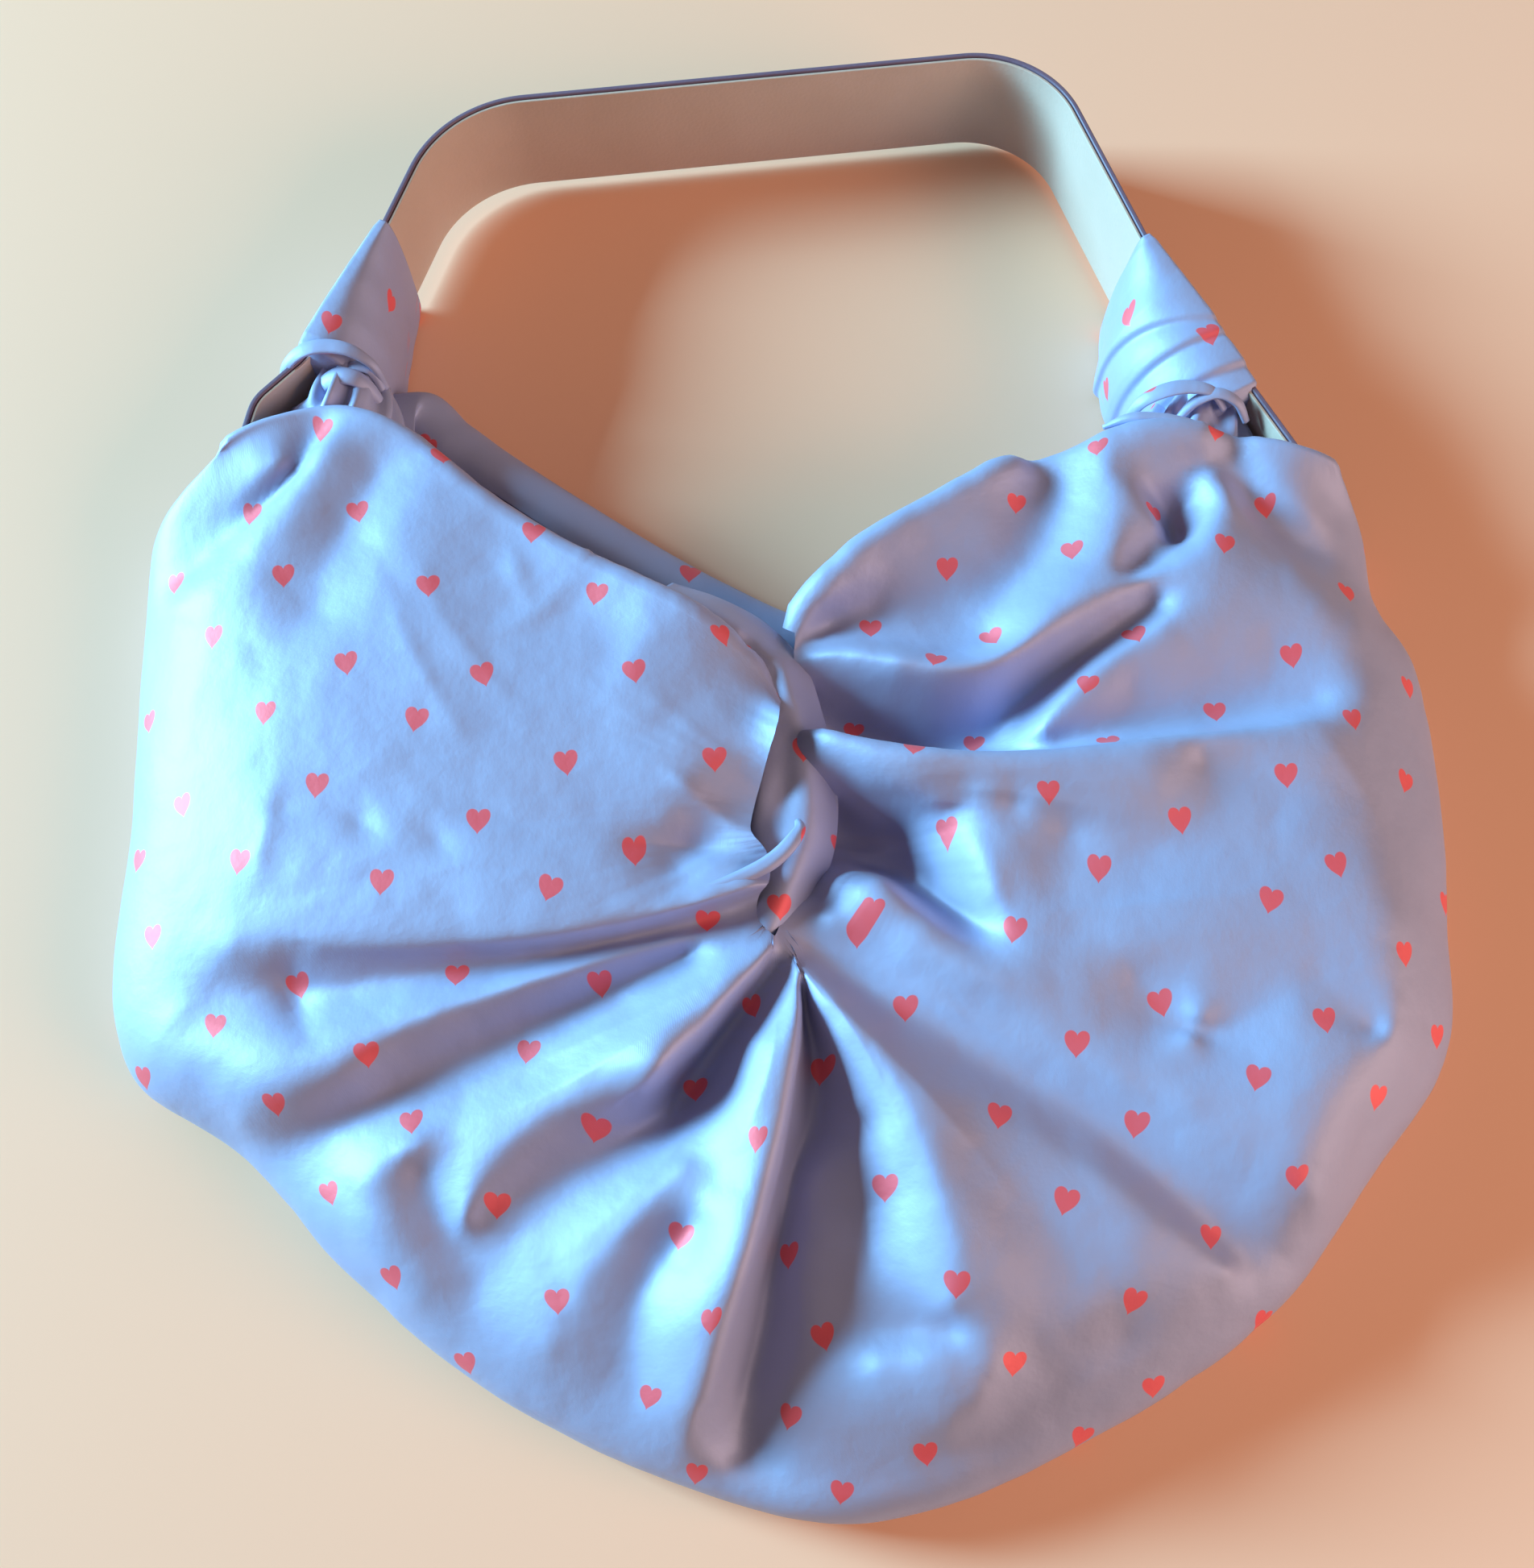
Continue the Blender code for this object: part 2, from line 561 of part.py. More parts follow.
def keep_main_body(obj):
    """Fixes the object's finished shape, without the crumbs that a union leaves in tight folds,
    and with nothing below the surface that it lies on."""
    finished = obj.evaluated_get(bpy.context.evaluated_depsgraph_get())
    obj.data = bpy.data.meshes.new_from_object(finished)
    obj.modifiers.clear()
    shell = bmesh.new()
    shell.from_mesh(obj.data)
    unseen = set(shell.verts)
    bodies = []
    while unseen:
        body = {unseen.pop()}
        edge = list(body)
        while edge:
            near = {link.other_vert(vert) for vert in edge for link in vert.link_edges} & unseen
            unseen -= near
            body |= near
            edge = list(near)
        bodies.append(body)
    main_body = max(bodies, key=len)
    crumbs = [vert for vert in shell.verts if vert not in main_body]
    bmesh.ops.delete(shell, geom=crumbs, context="VERTS")
    for vert in shell.verts:
        vert.co.z = max(vert.co.z, 0.0)
    shell.to_mesh(obj.data)
    shell.free()


def cloth(room):
    """The cloth in one body. Its tight rolls touch themselves, so the MANIFOLD solver joins it."""
    sateen = material("cotton sateen", (0.42, 0.56, 0.86), 0.55)
    sheet = bag_sheet(sateen)
    thinned = sheet.modifiers.new("thinned", "DECIMATE")
    thinned.ratio = CLOTH_TRIANGLES_KEPT
    wall = sheet.modifiers.new("thickness", "SOLIDIFY")
    wall.thickness = CLOTH_THICK * MM
    wall.offset = -1.0
    boolean(sheet, "UNION", twist_body(), "MANIFOLD")
    for side in KNOTS:
        knot = knot_body(side)
        boolean(knot, "DIFFERENCE", room)
        boolean(sheet, "UNION", knot, "MANIFOLD")
    keep_main_body(sheet)


def main():
    clear_scene()
    cloth(band_layers())


main()
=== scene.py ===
"""The looks of a furoshiki bag on its back: the printed sateen in its folds, the wound twist at
its middle, the two knots and the leather band handle, on a pale floor in soft light.

Tables are in millimetres, in the frame of the part; MM turns them into metres.
"""

import math

import bmesh
import bpy
import numpy as np
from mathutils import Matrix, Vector, noise


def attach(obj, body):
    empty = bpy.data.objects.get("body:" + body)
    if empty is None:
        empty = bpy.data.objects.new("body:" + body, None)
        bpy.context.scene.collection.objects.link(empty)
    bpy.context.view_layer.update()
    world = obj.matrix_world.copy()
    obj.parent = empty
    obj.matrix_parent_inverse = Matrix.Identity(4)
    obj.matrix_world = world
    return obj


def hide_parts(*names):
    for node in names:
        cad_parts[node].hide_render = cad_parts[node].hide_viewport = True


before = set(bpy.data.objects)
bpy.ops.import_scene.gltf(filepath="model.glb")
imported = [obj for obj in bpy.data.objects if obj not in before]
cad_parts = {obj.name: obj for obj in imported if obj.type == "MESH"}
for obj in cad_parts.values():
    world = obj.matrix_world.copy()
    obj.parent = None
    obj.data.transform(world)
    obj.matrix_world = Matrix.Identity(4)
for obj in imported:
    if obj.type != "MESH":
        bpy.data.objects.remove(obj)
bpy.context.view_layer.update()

MM = 0.001
TINY = 1e-9

# How finely the cloth is sampled, and how its sections run (as in the part).
ACROSS_STEPS = 600
FRONT_STEPS = 96
WALL_STEPS = 8
BACK_STEPS = 10
ROLL_STEPS = 14
LIP_STEPS = 6
RISE_SHARE = 0.22
INNER_PEAK = 0.3
RIM_CROWDING = 0.85
FOLD_FADE_POWER = 8
FOLD_CURVE_POINTS = 21
FOLD_REACH = 3.2
LEAN_SPREAD = 1.4
HEM_ROLL_DEGREES = 230
LIP_CURL_DEGREES = 165
LIP_RADIUS = 4.6
LIP_WIDE_SHARE = 0.65
SIDE_RADIUS = 1.7
SIDE_TIGHT_SHARE = 0.9
LOWEST = 0.05

SECTION_COLUMNS = ("root_x", "root_y", "root_z", "rim_x", "rim_y", "rim_z", "tuck", "crown",
                   "square", "bow_in", "bow_out", "peak", "hem_x", "hem_y", "hem_r")
SECTIONS = {
    "right shoulder": (0, 45, 33, 166, 97, 40, -5, 49, 14, 12, 20, 0.62, 137, 119, 10),
    "right shoulder fall": (0, 40, 32, 176, 88, 22, 2, 46, 7, 9, 13, 0.62, 131, 122, 10),
    "right notch": (0, 34, 31, 180, 67, 14, 7, 43, 5, 8, 6, 0.60, 124, 122, 10),
    "right flare": (0, 26, 30, 190, 46, 12, 9, 42, 5, 3, 1, 0.60, 114, 119, 10),
    "right side": (0, 10, 28, 193, 8, 12, 9, 42, 5, 0, 0, 0.60, 100, 114, 9),
    "right side low": (1, -8, 28, 190, -36, 12, 9, 42, 5, 0, 0, 0.60, 84, 107, 9),
    "right turn": (1, -20, 28, 184, -76, 12, 9, 41, 5, 0, 0, 0.60, 68, 99, 9),
    "right corner": (0, -31, 29, 161, -106, 12, 9, 40, 5, 0, 0, 0.60, 52, 90, 9),
    "crease corner": (-3, -39, 30, 133, -140, 12, 9, 38, 5, 0, 0, 0.60, 38, 82, 9),
    "lower right": (-5, -43, 30, 87, -171, 10, 9, 36, 5, 0, 0, 0.60, 22, 73, 9),
    "foot": (-7, -46, 30, 12, -196, 10, 9, 34, 5, 0, 0, 0.60, 3, 64, 9),
    "foot left": (-8, -45, 30, -42, -183, 10, 9, 34, 5, 0, 0, 0.60, -20, 75, 9),
    "lower left": (-9, -44, 30, -90, -159, 11, 9, 36, 5, 0, 0, 0.60, -40, 87, 9),
    "left corner low": (-10, -43, 31, -130, -126, 12, 9, 38, 5, 0, 0, 0.60, -58, 99, 9),
    "left notch": (-11, -38, 33, -153, -103, 12, 9, 39, 5, 0, 0, 0.60, -74, 110, 9),
    "left corner": (-8, -27, 38, -185, -83, 12, 9, 42, 5, 0, 0, 0.60, -88, 120, 9),
    "left side": (-12.5, -15, 43, -197, 0, 12, 9, 46, 5, 0, 0, 0.70, -104, 132, 10),
    "left side high": (-8, 3, 44, -200, 56, 13, 7, 48, 5, -6, -4, 0.75, -120, 143, 12),
    "left turn": (-5, 14, 44, -198, 82, 22, 3, 48, 7, -7, -13, 0.80, -134, 141, 12),
    "left shoulder": (-4, 22, 42, -175, 102, 43, -6, 50, 14, -10, -26, 0.82, -143, 136, 12),
}

# The lines that shape the front, traced on the photograph: crests, troughs and edges as points of
# x, y and height. The cloth runs nearly straight from each line to the next.
LINES = {
    "lobe lower crest": (
        (-36, -14, 48), (-80, -15, 49.5), (-101, -11, 49.5), (-129, -9, 48.5), (-144, -11, 46.5)),
    "lobe tip": ((-5, 18, 48), (-18, 6, 49), (-30, -5, 49), (-36, -14, 48)),
    "lobe tip shade": ((-12, -4, 44.5), (-24, -17, 44), (-34, -27, 44.5)),
    "left rim crest": (
        (-146, 60, 47), (-146, 26, 48), (-146, -2, 47.5), (-146, -22, 46.5), (-152, -42, 43.5)),
    "lobe crease": ((-112, 100, 49), (-119, 67, 50), (-120, 60, 50), (-133, 38, 49.5), (-145, 25, 48)),
    "lobe dip": ((-124, 95, 47), (-134, 72, 46.5), (-139, 50, 46.5)),
    "lobe plane": ((-88, 75, 49.5), (-60, 40, 50), (-90, 30, 50.5), (-60, 8, 50)),
    "left lip": (
        (-12, -31, 47.5), (-26, -37, 47), (-48, -42, 46.5), (-65, -46, 46), (-84, -48, 45.5),
        (-112, -49, 44.5), (-136, -49, 43.5), (-154, -51, 41.5)),
    "under left lip": (
        (-12, -36, 41), (-26, -41.5, 40), (-48, -46.5, 39.5), (-65, -50.5, 39), (-84, -53.5, 38.5),
        (-112, -57, 37.5), (-133, -60, 36), (-155, -59, 36.5), (-163, -64, 35)),
    "fan crest": (
        (-22, -45.5, 41.5), (-45, -51.5, 42), (-69, -59, 42.5), (-89, -66, 42.5), (-108, -74, 42.5),
        (-119, -83, 41.5), (-133, -90, 40), (-150, -96, 36)),
    "corner dent": ((-158, -76, 36.5), (-166, -80, 33.5)),
    "fan trough": (
        (-30, -51, 38), (-45, -57, 36.5), (-63, -65, 35), (-81, -73, 34), (-99, -82, 33), (-115, -90, 32),
        (-130, -97, 30), (-145, -102, 26)),
    "elbow crest": (
        (-8, -49, 44), (-14, -56, 44.5), (-22, -67, 44.5), (-29, -75, 44), (-38, -87, 44), (-52, -91, 43),
        (-66, -95, 42), (-77, -104, 41), (-84, -114, 39), (-87, -121, 37.5)),
    "elbow trough": (
        (-7, -54, 38), (-20, -70, 34.5), (-33, -84, 32.5), (-39, -93, 32), (-47, -101, 32.5),
        (-61, -109, 33.5), (-75, -116, 34.5), (-87, -123, 35.5)),
    "broad crest": ((-30, -108, 41.5), (-46, -126, 40.5), (-58, -140, 38.5), (-64, -153, 34)),
    "soft trough": ((-28, -124, 38.5), (-39, -137, 36.5), (-42, -147, 34.5), (-41, -164, 29)),
    "pocket crest": (
        (-100, -103, 39), (-116, -114, 37), (-117, -122, 35.5), (-111, -132, 34), (-101, -141, 31)),
    "pocket trough": ((-99, -109, 35), (-91, -124, 31.5), (-84, -132, 30), (-84, -146, 27)),
    "upright shelf": ((-12, -76, 44.5), (-17, -95, 45), (-21, -112, 44)),
    "upright crest": (
        (-2, -56, 43.5), (-1, -70, 45.5), (-4, -92, 46), (-9, -112, 46), (-13, -132, 45), (-18, -147, 43),
        (-22, -158, 40), (-27, -171, 34), (-29, -179, 25)),
    "upright trough": (
        (1, -62, 36), (4, -76, 31), (3, -92, 28.5), (-1, -106, 27.5), (-5, -122, 26), (-9, -136, 25),
        (-12, -150, 22.5), (-15, -164, 18), (-15, -178, 10.5)),
    "wedge edge": ((-2, -54, 42), (4, -64, 43), (9, -72, 43), (15, -85, 42), (18, -94, 40.5)),
    "wedge foot": (
        (11, -100, 34), (2, -110, 30.5), (1, -124, 31), (-1, -136, 30), (0, -147, 29), (-4, -168, 24.5),
        (-7, -182, 15)),
    "wedge dip": ((15, -112, 36.5), (19, -126, 36.5), (17, -139, 35.5)),
    "spread crest": (
        (2, -57, 44), (12, -68, 47), (24, -85, 49), (30, -98, 50), (35, -112, 50), (39, -125, 49),
        (40, -136, 47.5), (38, -143, 45.5)),
    "cross crease": ((6, -149, 31), (21, -149, 35), (38, -148, 39.5)),
    "low bulge": ((20, -158, 37.5), (38, -155, 41.5), (49, -157, 41), (48, -164, 39), (38, -171, 35)),
    "lilac plane": ((45, -104, 46), (60, -120, 43), (70, -134, 41)),
    "slope top": (
        (12, -62, 43), (27, -76, 43.5), (44, -88, 43), (62, -101, 42), (80, -111, 41), (96, -123, 39),
        (112, -134, 35)),
    "long trough": (
        (4, -50, 37), (14, -58, 37), (33, -69, 37), (56, -83, 36.5), (75, -94, 35.5), (91, -107, 34),
        (108, -123, 31), (118, -132, 28)),
    "right plane": ((50, -64, 41), (80, -82, 40.5), (105, -95, 40.5), (122, -110, 39)),
    "right rim crest": (
        (161, -31, 44.5), (167, -42, 43.5), (166, -54, 43), (161, -68, 44), (152, -81, 45), (144, -99, 44),
        (136, -115, 40)),
    "right band rim": ((113, 2, 46.5), (128, 0, 46.5), (139, -7, 46), (150, -21, 45)),
    "dimple top": ((88, -50, 43.5), (109, -48, 44.5), (128, -44, 44.5), (143, -47, 44)),
    "dimple": ((92, -58, 40), (97, -67, 38.5), (105, -72, 38.5), (116, -71, 39.5), (127, -64, 41)),
    "dimple shoulder": ((112, -60, 42), (104, -82, 41), (120, -80, 41.5), (134, -68, 42.5)),
    "second dimple": ((141, -57, 41.5), (149, -68, 41), (156, -72, 40.5)),
    "hem trough": (
        (13, -186, 19), (29, -181, 22.5), (48, -174, 25.5), (63, -165, 28), (76, -157, 30), (84, -149, 32)),
    "hem crest": ((60, -153, 37), (72, -146, 38.5), (83, -141, 38.5), (97, -141, 36), (111, -141, 31)),
    "shoulder roll": (
        (2, 44, 38), (14, 58, 45.5), (28, 71, 48.5), (41, 83, 49.5), (54, 92, 50), (66, 99, 50),
        (78, 109, 48)),
    "lobe hollow": (
        (8, 50, 36), (20, 54, 38), (34, 58, 39.5), (48, 66, 41.5), (60, 78, 43), (68, 90, 43.5),
        (74, 102, 43.5)),
    "hollow side": ((80, 108, 44.5), (79, 95, 42), (75, 80, 40.5), (68, 67, 40), (60, 57, 40)),
    "hollow foot": ((7, 46, 36.5), (21, 45, 38), (34, 42, 40), (48, 38, 42), (57, 42, 41)),
    "pouch crest": ((91, 110, 49), (93, 98, 50), (95, 84, 50), (95, 72, 49), (94, 62, 48)),
    "roll crest": (
        (2, 37, 38), (14, 36, 43.5), (27, 31.5, 46), (40, 29, 47), (55, 30, 47.5), (68, 36, 48),
        (83, 46, 48.5), (98, 55, 49), (111, 64, 49), (121, 75, 48.5), (126, 85, 48), (124, 94, 47)),
    "roll crease": ((109, 71, 43.5), (103, 66, 44), (98, 62, 45.5)),
    "pocket edge": ((97, 94, 49), (103, 86, 48), (108, 77, 46)),
    "pocket": ((110, 87, 39), (114, 82, 35), (114, 76, 36), (118, 88, 40)),
    "pouch": ((100, 102, 50.5), (112, 103, 50.5), (123, 104, 50)),
    "under pouch": ((106, 90.5, 43.5), (115, 94, 43.5), (125, 98, 43.5), (133, 103, 43.5)),
    "dark trough": (
        (2, 30, 28), (14, 24, 23), (28, 20, 21), (42, 18, 22), (54, 21, 27), (68, 30, 33), (86, 41, 38.5),
        (104, 53, 43)),
    "trough ridge": ((70, 14, 40), (76, 23, 42), (87, 33, 44.5), (100, 41, 46.5), (110, 49, 47.5)),
    "above band": (
        (3, 18, 29), (8, 17, 27), (24, 14, 23), (44, 9, 26), (58, 9, 31), (70, 9.5, 36), (88, 12, 39.5),
        (113, 14.5, 39.5), (133, 18.5, 39.5), (150, 24, 39.5)),
    "brown plane": ((95, 28, 42), (118, 32, 41), (140, 38, 41)),
    "band crest": (
        (0, 14.5, 40.5), (6, 13.5, 43.5), (13, 11, 45.5), (24, 8, 47.5), (44, 4, 48.5), (66, 3.5, 49.5),
        (86, 5.5, 49.5), (113, 8, 49), (133, 11, 48), (151, 16, 45.5), (166, 24, 42.5)),
    "band lower edge": ((1, 5, 40), (7, 4, 43), (20, -1, 44.5), (33, -5, 46), (46, -8, 46)),
    "cavity": (
        (3, -4, 25), (9, -3, 22), (19, -9, 19), (31, -13, 24), (20, -18, 18), (30, -24, 22), (39, -33, 28),
        (47, -40, 34), (52, -44, 38.5)),
    "cavity side": ((44, -14, 42), (48, -23, 43.5), (52, -33, 44), (57, -43, 43)),
    "soft right ridge": ((60, -10, 46), (61, -26, 45.5), (57, -38, 44)),
    "right of ridge": ((75, -18, 43), (74, -34, 42.5), (98, -22, 44), (125, -24, 45)),
    "low lobe edge": ((6, -33, 34), (13, -29, 38.5), (23, -29.5, 41), (32, -38, 42), (44, -48, 42.5)),
    "low lobe crest": ((9, -41, 41), (22, -43, 43.5), (41, -54, 44), (64, -63, 43.5)),
    "shoulder ridge one": (
        (124, 95, 46), (128, 87, 48), (131, 77, 48), (139, 66, 47.5), (152, 59, 46), (168, 49, 42)),
    "shoulder trough": ((134, 99, 42), (138, 90, 40), (148, 79, 38.5), (161, 72, 35)),
    "shoulder ridge two": ((137, 101, 46), (143, 95, 46.5), (149, 88, 45), (157, 82, 42), (167, 80, 36)),
    "left fold": ((-155, 106, 46), (-152, 98, 46), (-163, 91, 42.5), (-180, 84, 34)),
    "left fold trough": (
        (-141, 109, 45.5), (-149, 99, 42.5), (-160, 86, 38.5), (-174, 74, 34.5), (-186, 66, 29.5)),
    "left shoulder crest": (
        (-134, 114, 48), (-143, 102, 49), (-148, 91, 48.5), (-160, 76, 47), (-172, 62, 44.5),
        (-184, 55, 40)),
}
LINE_STEP = 4.0
LINE_SOFTNESS = 1.3
LINE_EASE = 0.35
RIM_TIES = 90
PLACE_BATCHES = 40

# Narrow folds that lie over what is beside them: a curve through three points from the twist
# outwards, its height above the form at each, how far it spreads to its left and right, its
# profile (1 is a crisp crest, 2 a soft one) and how far its crest leans to the left.
FOLD_COLUMNS = ("x0", "y0", "x1", "y1", "x2", "y2", "h0", "h1", "h2", "left", "right", "crest", "lean")
FOLDS = {
    "left lip": (-8, -30, -64, -45, -130, -49, 2.2, 2, 0.6, 2.2, 5, 1.4, 3.4),
    "elbow lip": (-9, -50, -29, -75, -42, -88, 1.6, 2, 1, 2, 5, 1.3, 2.6),
    "upright lip": (-1, -58, -7, -104, -24, -164, 1.6, 2, 1, 2, 6, 1.3, 3),
    "band crest": (8, 12, 58, 3, 146, 14, 0.8, 1.2, 0.6, 2, 4, 1.2, 1.4),
    "band underside": (40, -8, 24, -2, 6, 4, 1, 1.2, 0.6, 2, 4, 1.3, 2.2),
    "wedge lip": (17, -92, 10, -74, -1, -56, 1, 1.2, 0.4, 2, 3, 1.2, 1.6),
    "left dent": (-139, -57, -136, -65, -131, -74, -2.5, -3, -1, 5, 4, 1.4, 0),
}

# Smaller creases, in the same columns.
CREASES = {
    "flap crest": (-31, -5, -22, -13, -8, -22, 1.6, 2.2, 1.5, 2.5, 4, 1.2, 0),
    "flap trough": (-44, -22, -26, -22, -9, -26, -1, -2.5, -2.5, 4, 4, 1.6, 0),
    "lobe crease one": (-61, 67, -73, 48, -88, 40, 0.4, 1.1, 0, 3, 7, 1.1, 0),
    "lobe crease two": (-84, 72, -80, 60, -77, 48, 0, 0.9, 0, 3, 5, 1.1, 0),
    "lobe crease three": (-118, 55, -104, 26, -86, 0, 0.6, 1.0, 0, 3, 7, 1.1, 0),
    "lobe crease four": (-108, 60, -94, 36, -70, 10, 0.4, 0.8, 0, 3, 7, 1.1, 0),
    "lobe crease five": (-40, 52, -46, 30, -60, 12, 0.4, 0.8, 0, 4, 7, 1.2, 0),
    "lobe crease six": (-144, -10, -147, -24, -149, -40, 0.6, 1.6, 0, 3, 5, 1.1, 0),
    "lobe puckers": (-128, -12, -120, -16, -112, -24, -0.6, -1.6, 0, 4, 5, 1.4, 0),
    "lobe pucker two": (-106, -14, -98, -22, -94, -30, 0, -1.2, 0, 4, 5, 1.4, 0),
    "left rim crease one": (-168, 44, -174, 22, -170, 6, 0, 1.0, 0, 3, 6, 1.1, 0),
    "left rim crease two": (-160, -60, -172, -70, -182, -84, 0, 1.4, 0.5, 5, 5, 1.2, 0),
    "fan one": (-14, -44, -50, -50, -90, -60, 0.8, 1.0, 0, 2, 4, 1.2, 0.6),
    "fan two": (-14, -55, -56, -74, -104, -92, 0.8, 1.0, 0.4, 3, 5, 1.2, 0.6),
    "fan three": (-20, -62, -56, -84, -86, -96, 0.5, 1.0, 0.2, 3, 5, 1.2, 0.6),
    "fan four": (-18, -74, -34, -104, -58, -128, 0.6, 1.0, 0.2, 3, 6, 1.2, 0.6),
    "fan five": (-8, -66, -12, -92, -26, -122, 0.8, 1.0, 0, 2.5, 4, 1.2, 0.6),
    "fan six": (6, -60, 20, -84, 30, -112, 0.5, 0.8, 0.2, 2, 3, 1.2, 0),
    "fan seven": (10, -66, 40, -98, 66, -130, 0.6, 0.9, 0, 3, 5, 1.3, 0),
    "fan eight": (10, -50, 44, -68, 80, -86, 0.5, 0.8, 0, 3, 5, 1.3, 0),
    "wedge crease": (13, -104, 18, -118, 16, -136, 0, -1.4, 0, 3, 3, 1.3, 0),
    "right crease": (60, -40, 100, -38, 150, -32, 0, 0.9, 0, 4, 6, 1.2, 0),
    "right crease two": (84, -80, 96, -92, 100, -108, 0, -0.7, 0, 4, 6, 1.2, 0),
    "right plane crease": (142, 15, 160, -6, 168, -30, 0.4, 1.2, 0.4, 4, 6, 1.2, 0),
    "right rim fold": (176, 34, 184, 8, 184, -24, 0, 1.4, 0, 4, 5, 1.2, 0),
    "band fold": (44, -7, 66, -9, 92, -15, 0.6, 1.1, 0, 2, 5, 1.1, 0),
    "band top": (8, 10, 26, 5, 46, 3, 0.6, -1.2, 0, 2, 2, 1.4, 0),
    "roll pucker one": (20, 38, 22, 33, 24, 28, 0, 0.9, 0, 1.4, 1.8, 1.3, 0),
    "roll pucker two": (27, 37, 29, 32, 30, 27, 0, 0.9, 0, 1.4, 1.8, 1.3, 0),
    "pouch wrinkle": (96, 100, 108, 98, 120, 101, 0, -0.9, 0, 2, 3, 1.3, 0),
    "right shoulder crease": (128, 96, 133, 82, 146, 70, 0.6, 1.1, 0.4, 2.5, 4, 1.2, 0),
    "low dent": (-70, -130, -60, -140, -58, -150, 0, -1.4, 0, 6, 6, 1.4, 0),
    "foot crease": (-30, -150, -14, -166, -2, -178, 0, 1.0, 0.4, 4, 5, 1.2, 0),
    "foot crease two": (52, -172, 74, -162, 98, -150, 0.4, 1.2, 0.2, 3, 4, 1.2, 0),
}

# Crumples of soft cloth: those that fan out from the twist, and even ones by depth, size and seed.
CRUMPLE_SHARPNESS = 2.2
CRUMPLE_SHIFT = (17.3, 5.1, 9.7)
TWIST_CENTRE = (-3.0, -10.0)
FAN_RADIUS = 12.0
FAN_LENGTH = 55.0
FAN_DEPTH = 0.24
FAN_FADE = 60.0
FAN_SEED = 1
EVEN_CRUMPLES = ((0.5, 34.0, 2), (0.16, 13.0, 3))

# The twist: a gathered length of the cloth between the lobes. Each station is the middle of it, half
# its width and the height of its underside; its top is drawn taut between the traced lines below.
TWIST_SPINE = ((-38, 59, 4, 36), (-26, 52.5, 7, 34), (-15, 44, 9.5, 33), (-7, 33, 11, 32), (-3, 20, 11.5, 30),
               (-1, 7, 12.5, 28), (-1, -6, 13.5, 27), (-2.5, -19, 13, 27), (-6, -31, 10.5, 28),
               (-9.5, -42, 7, 30), (-12.5, -56, 2.5, 33))
TWIST_LINES = {
    "bundle edge": (
        (-5, 32, 42.5), (-0.5, 23, 43), (1.5, 12, 42.3), (4.5, 0, 41), (5.5, -10, 40.6), (3.7, -21, 40.8),
        (-1, -34, 41.3), (-6.5, -47, 41), (-10, -53, 40)),
    "bundle fall": (
        (1, 34, 38), (5, 23, 37), (8, 9, 36), (9.5, -5, 34.5), (9.5, -15, 34.5), (7, -26, 34.5),
        (2, -38, 35.5), (-4, -52, 36)),
    "bundle foot": ((10, 8, 30), (12, -5, 29), (11.5, -16, 29), (9, -28, 30)),
    "hollow": ((-1.5, 11, 41.6), (-3, 3, 40.6), (-3, -4, 40), (-4, -12, 40), (-5, -19, 40.4)),
    "hollow rim": ((-7, 14, 43), (-3.5, 16, 43)),
    "under the lobe": ((-13, 22, 43), (-11, 8, 42), (-12.5, -6, 41.6), (-14, -18, 41.6)),
    "upper fold": ((-37, 58, 42), (-27, 52, 43.5), (-20, 47, 44), (-16, 44, 43.5)),
    "upper fold back": ((-34, 62, 37), (-24, 57, 38), (-13, 50, 37), (-4, 41, 37)),
    "upper gap": ((-21, 42, 42.5), (-16, 40.5, 42.3), (-11, 41, 41.5)),
    "middle fold": ((-20, 38, 43), (-14, 32, 43.8), (-9, 24, 44), (-5, 18, 43.6)),
    "middle gap": ((-13, 37, 42.3), (-8.5, 31, 42.4), (-5, 25, 42.6)),
    "side fold": ((-10.5, 38, 42.6), (-5.5, 34, 43.2), (-2.5, 27, 43.6), (-1, 20, 43.2)),
    "lower bundle": ((-6, -27, 41), (-9, -36, 41), (-12, -44, 40)),
    "left side": ((-24, 40, 42), (-15, 27, 43), (-14.5, -28, 40), (-15, -40, 38), (-15, -52, 36)),
}
TWIST_STEPS = 150
TWIST_AROUND = 96
TWIST_SHOULDER = 0.3
TWIST_THINNEST = 2
TWIST_BELLY = 4

# Rolled edges of the same cloth: rows of a centre, half its width and half its height. Fine pleats
# wind along each, by so many radians a millimetre.
STRAND_STEPS = 60
STRAND_AROUND = 40
THINNEST = 0.2
PLEAT_DEPTH = 0.16
PLEAT_WIND = 0.09
FINER_PLEATS = 4
FINE_PLEAT_WIND = 0.16
ROLLS = {
    "lip roll": (
        (-48, -42.5, 46.9, 0.8, 0.6), (-30, -37.2, 47.6, 1.6, 1), (-14, -31.5, 47.8, 2.2, 1.3),
        (-6, -26.8, 47.7, 2.4, 1.4), (-0.5, -20.5, 47, 2.1, 1.4), (1, -17.2, 45.8, 1.6, 1.3),
        (0.4, -14.6, 43.8, 0.9, 0.9)),
}

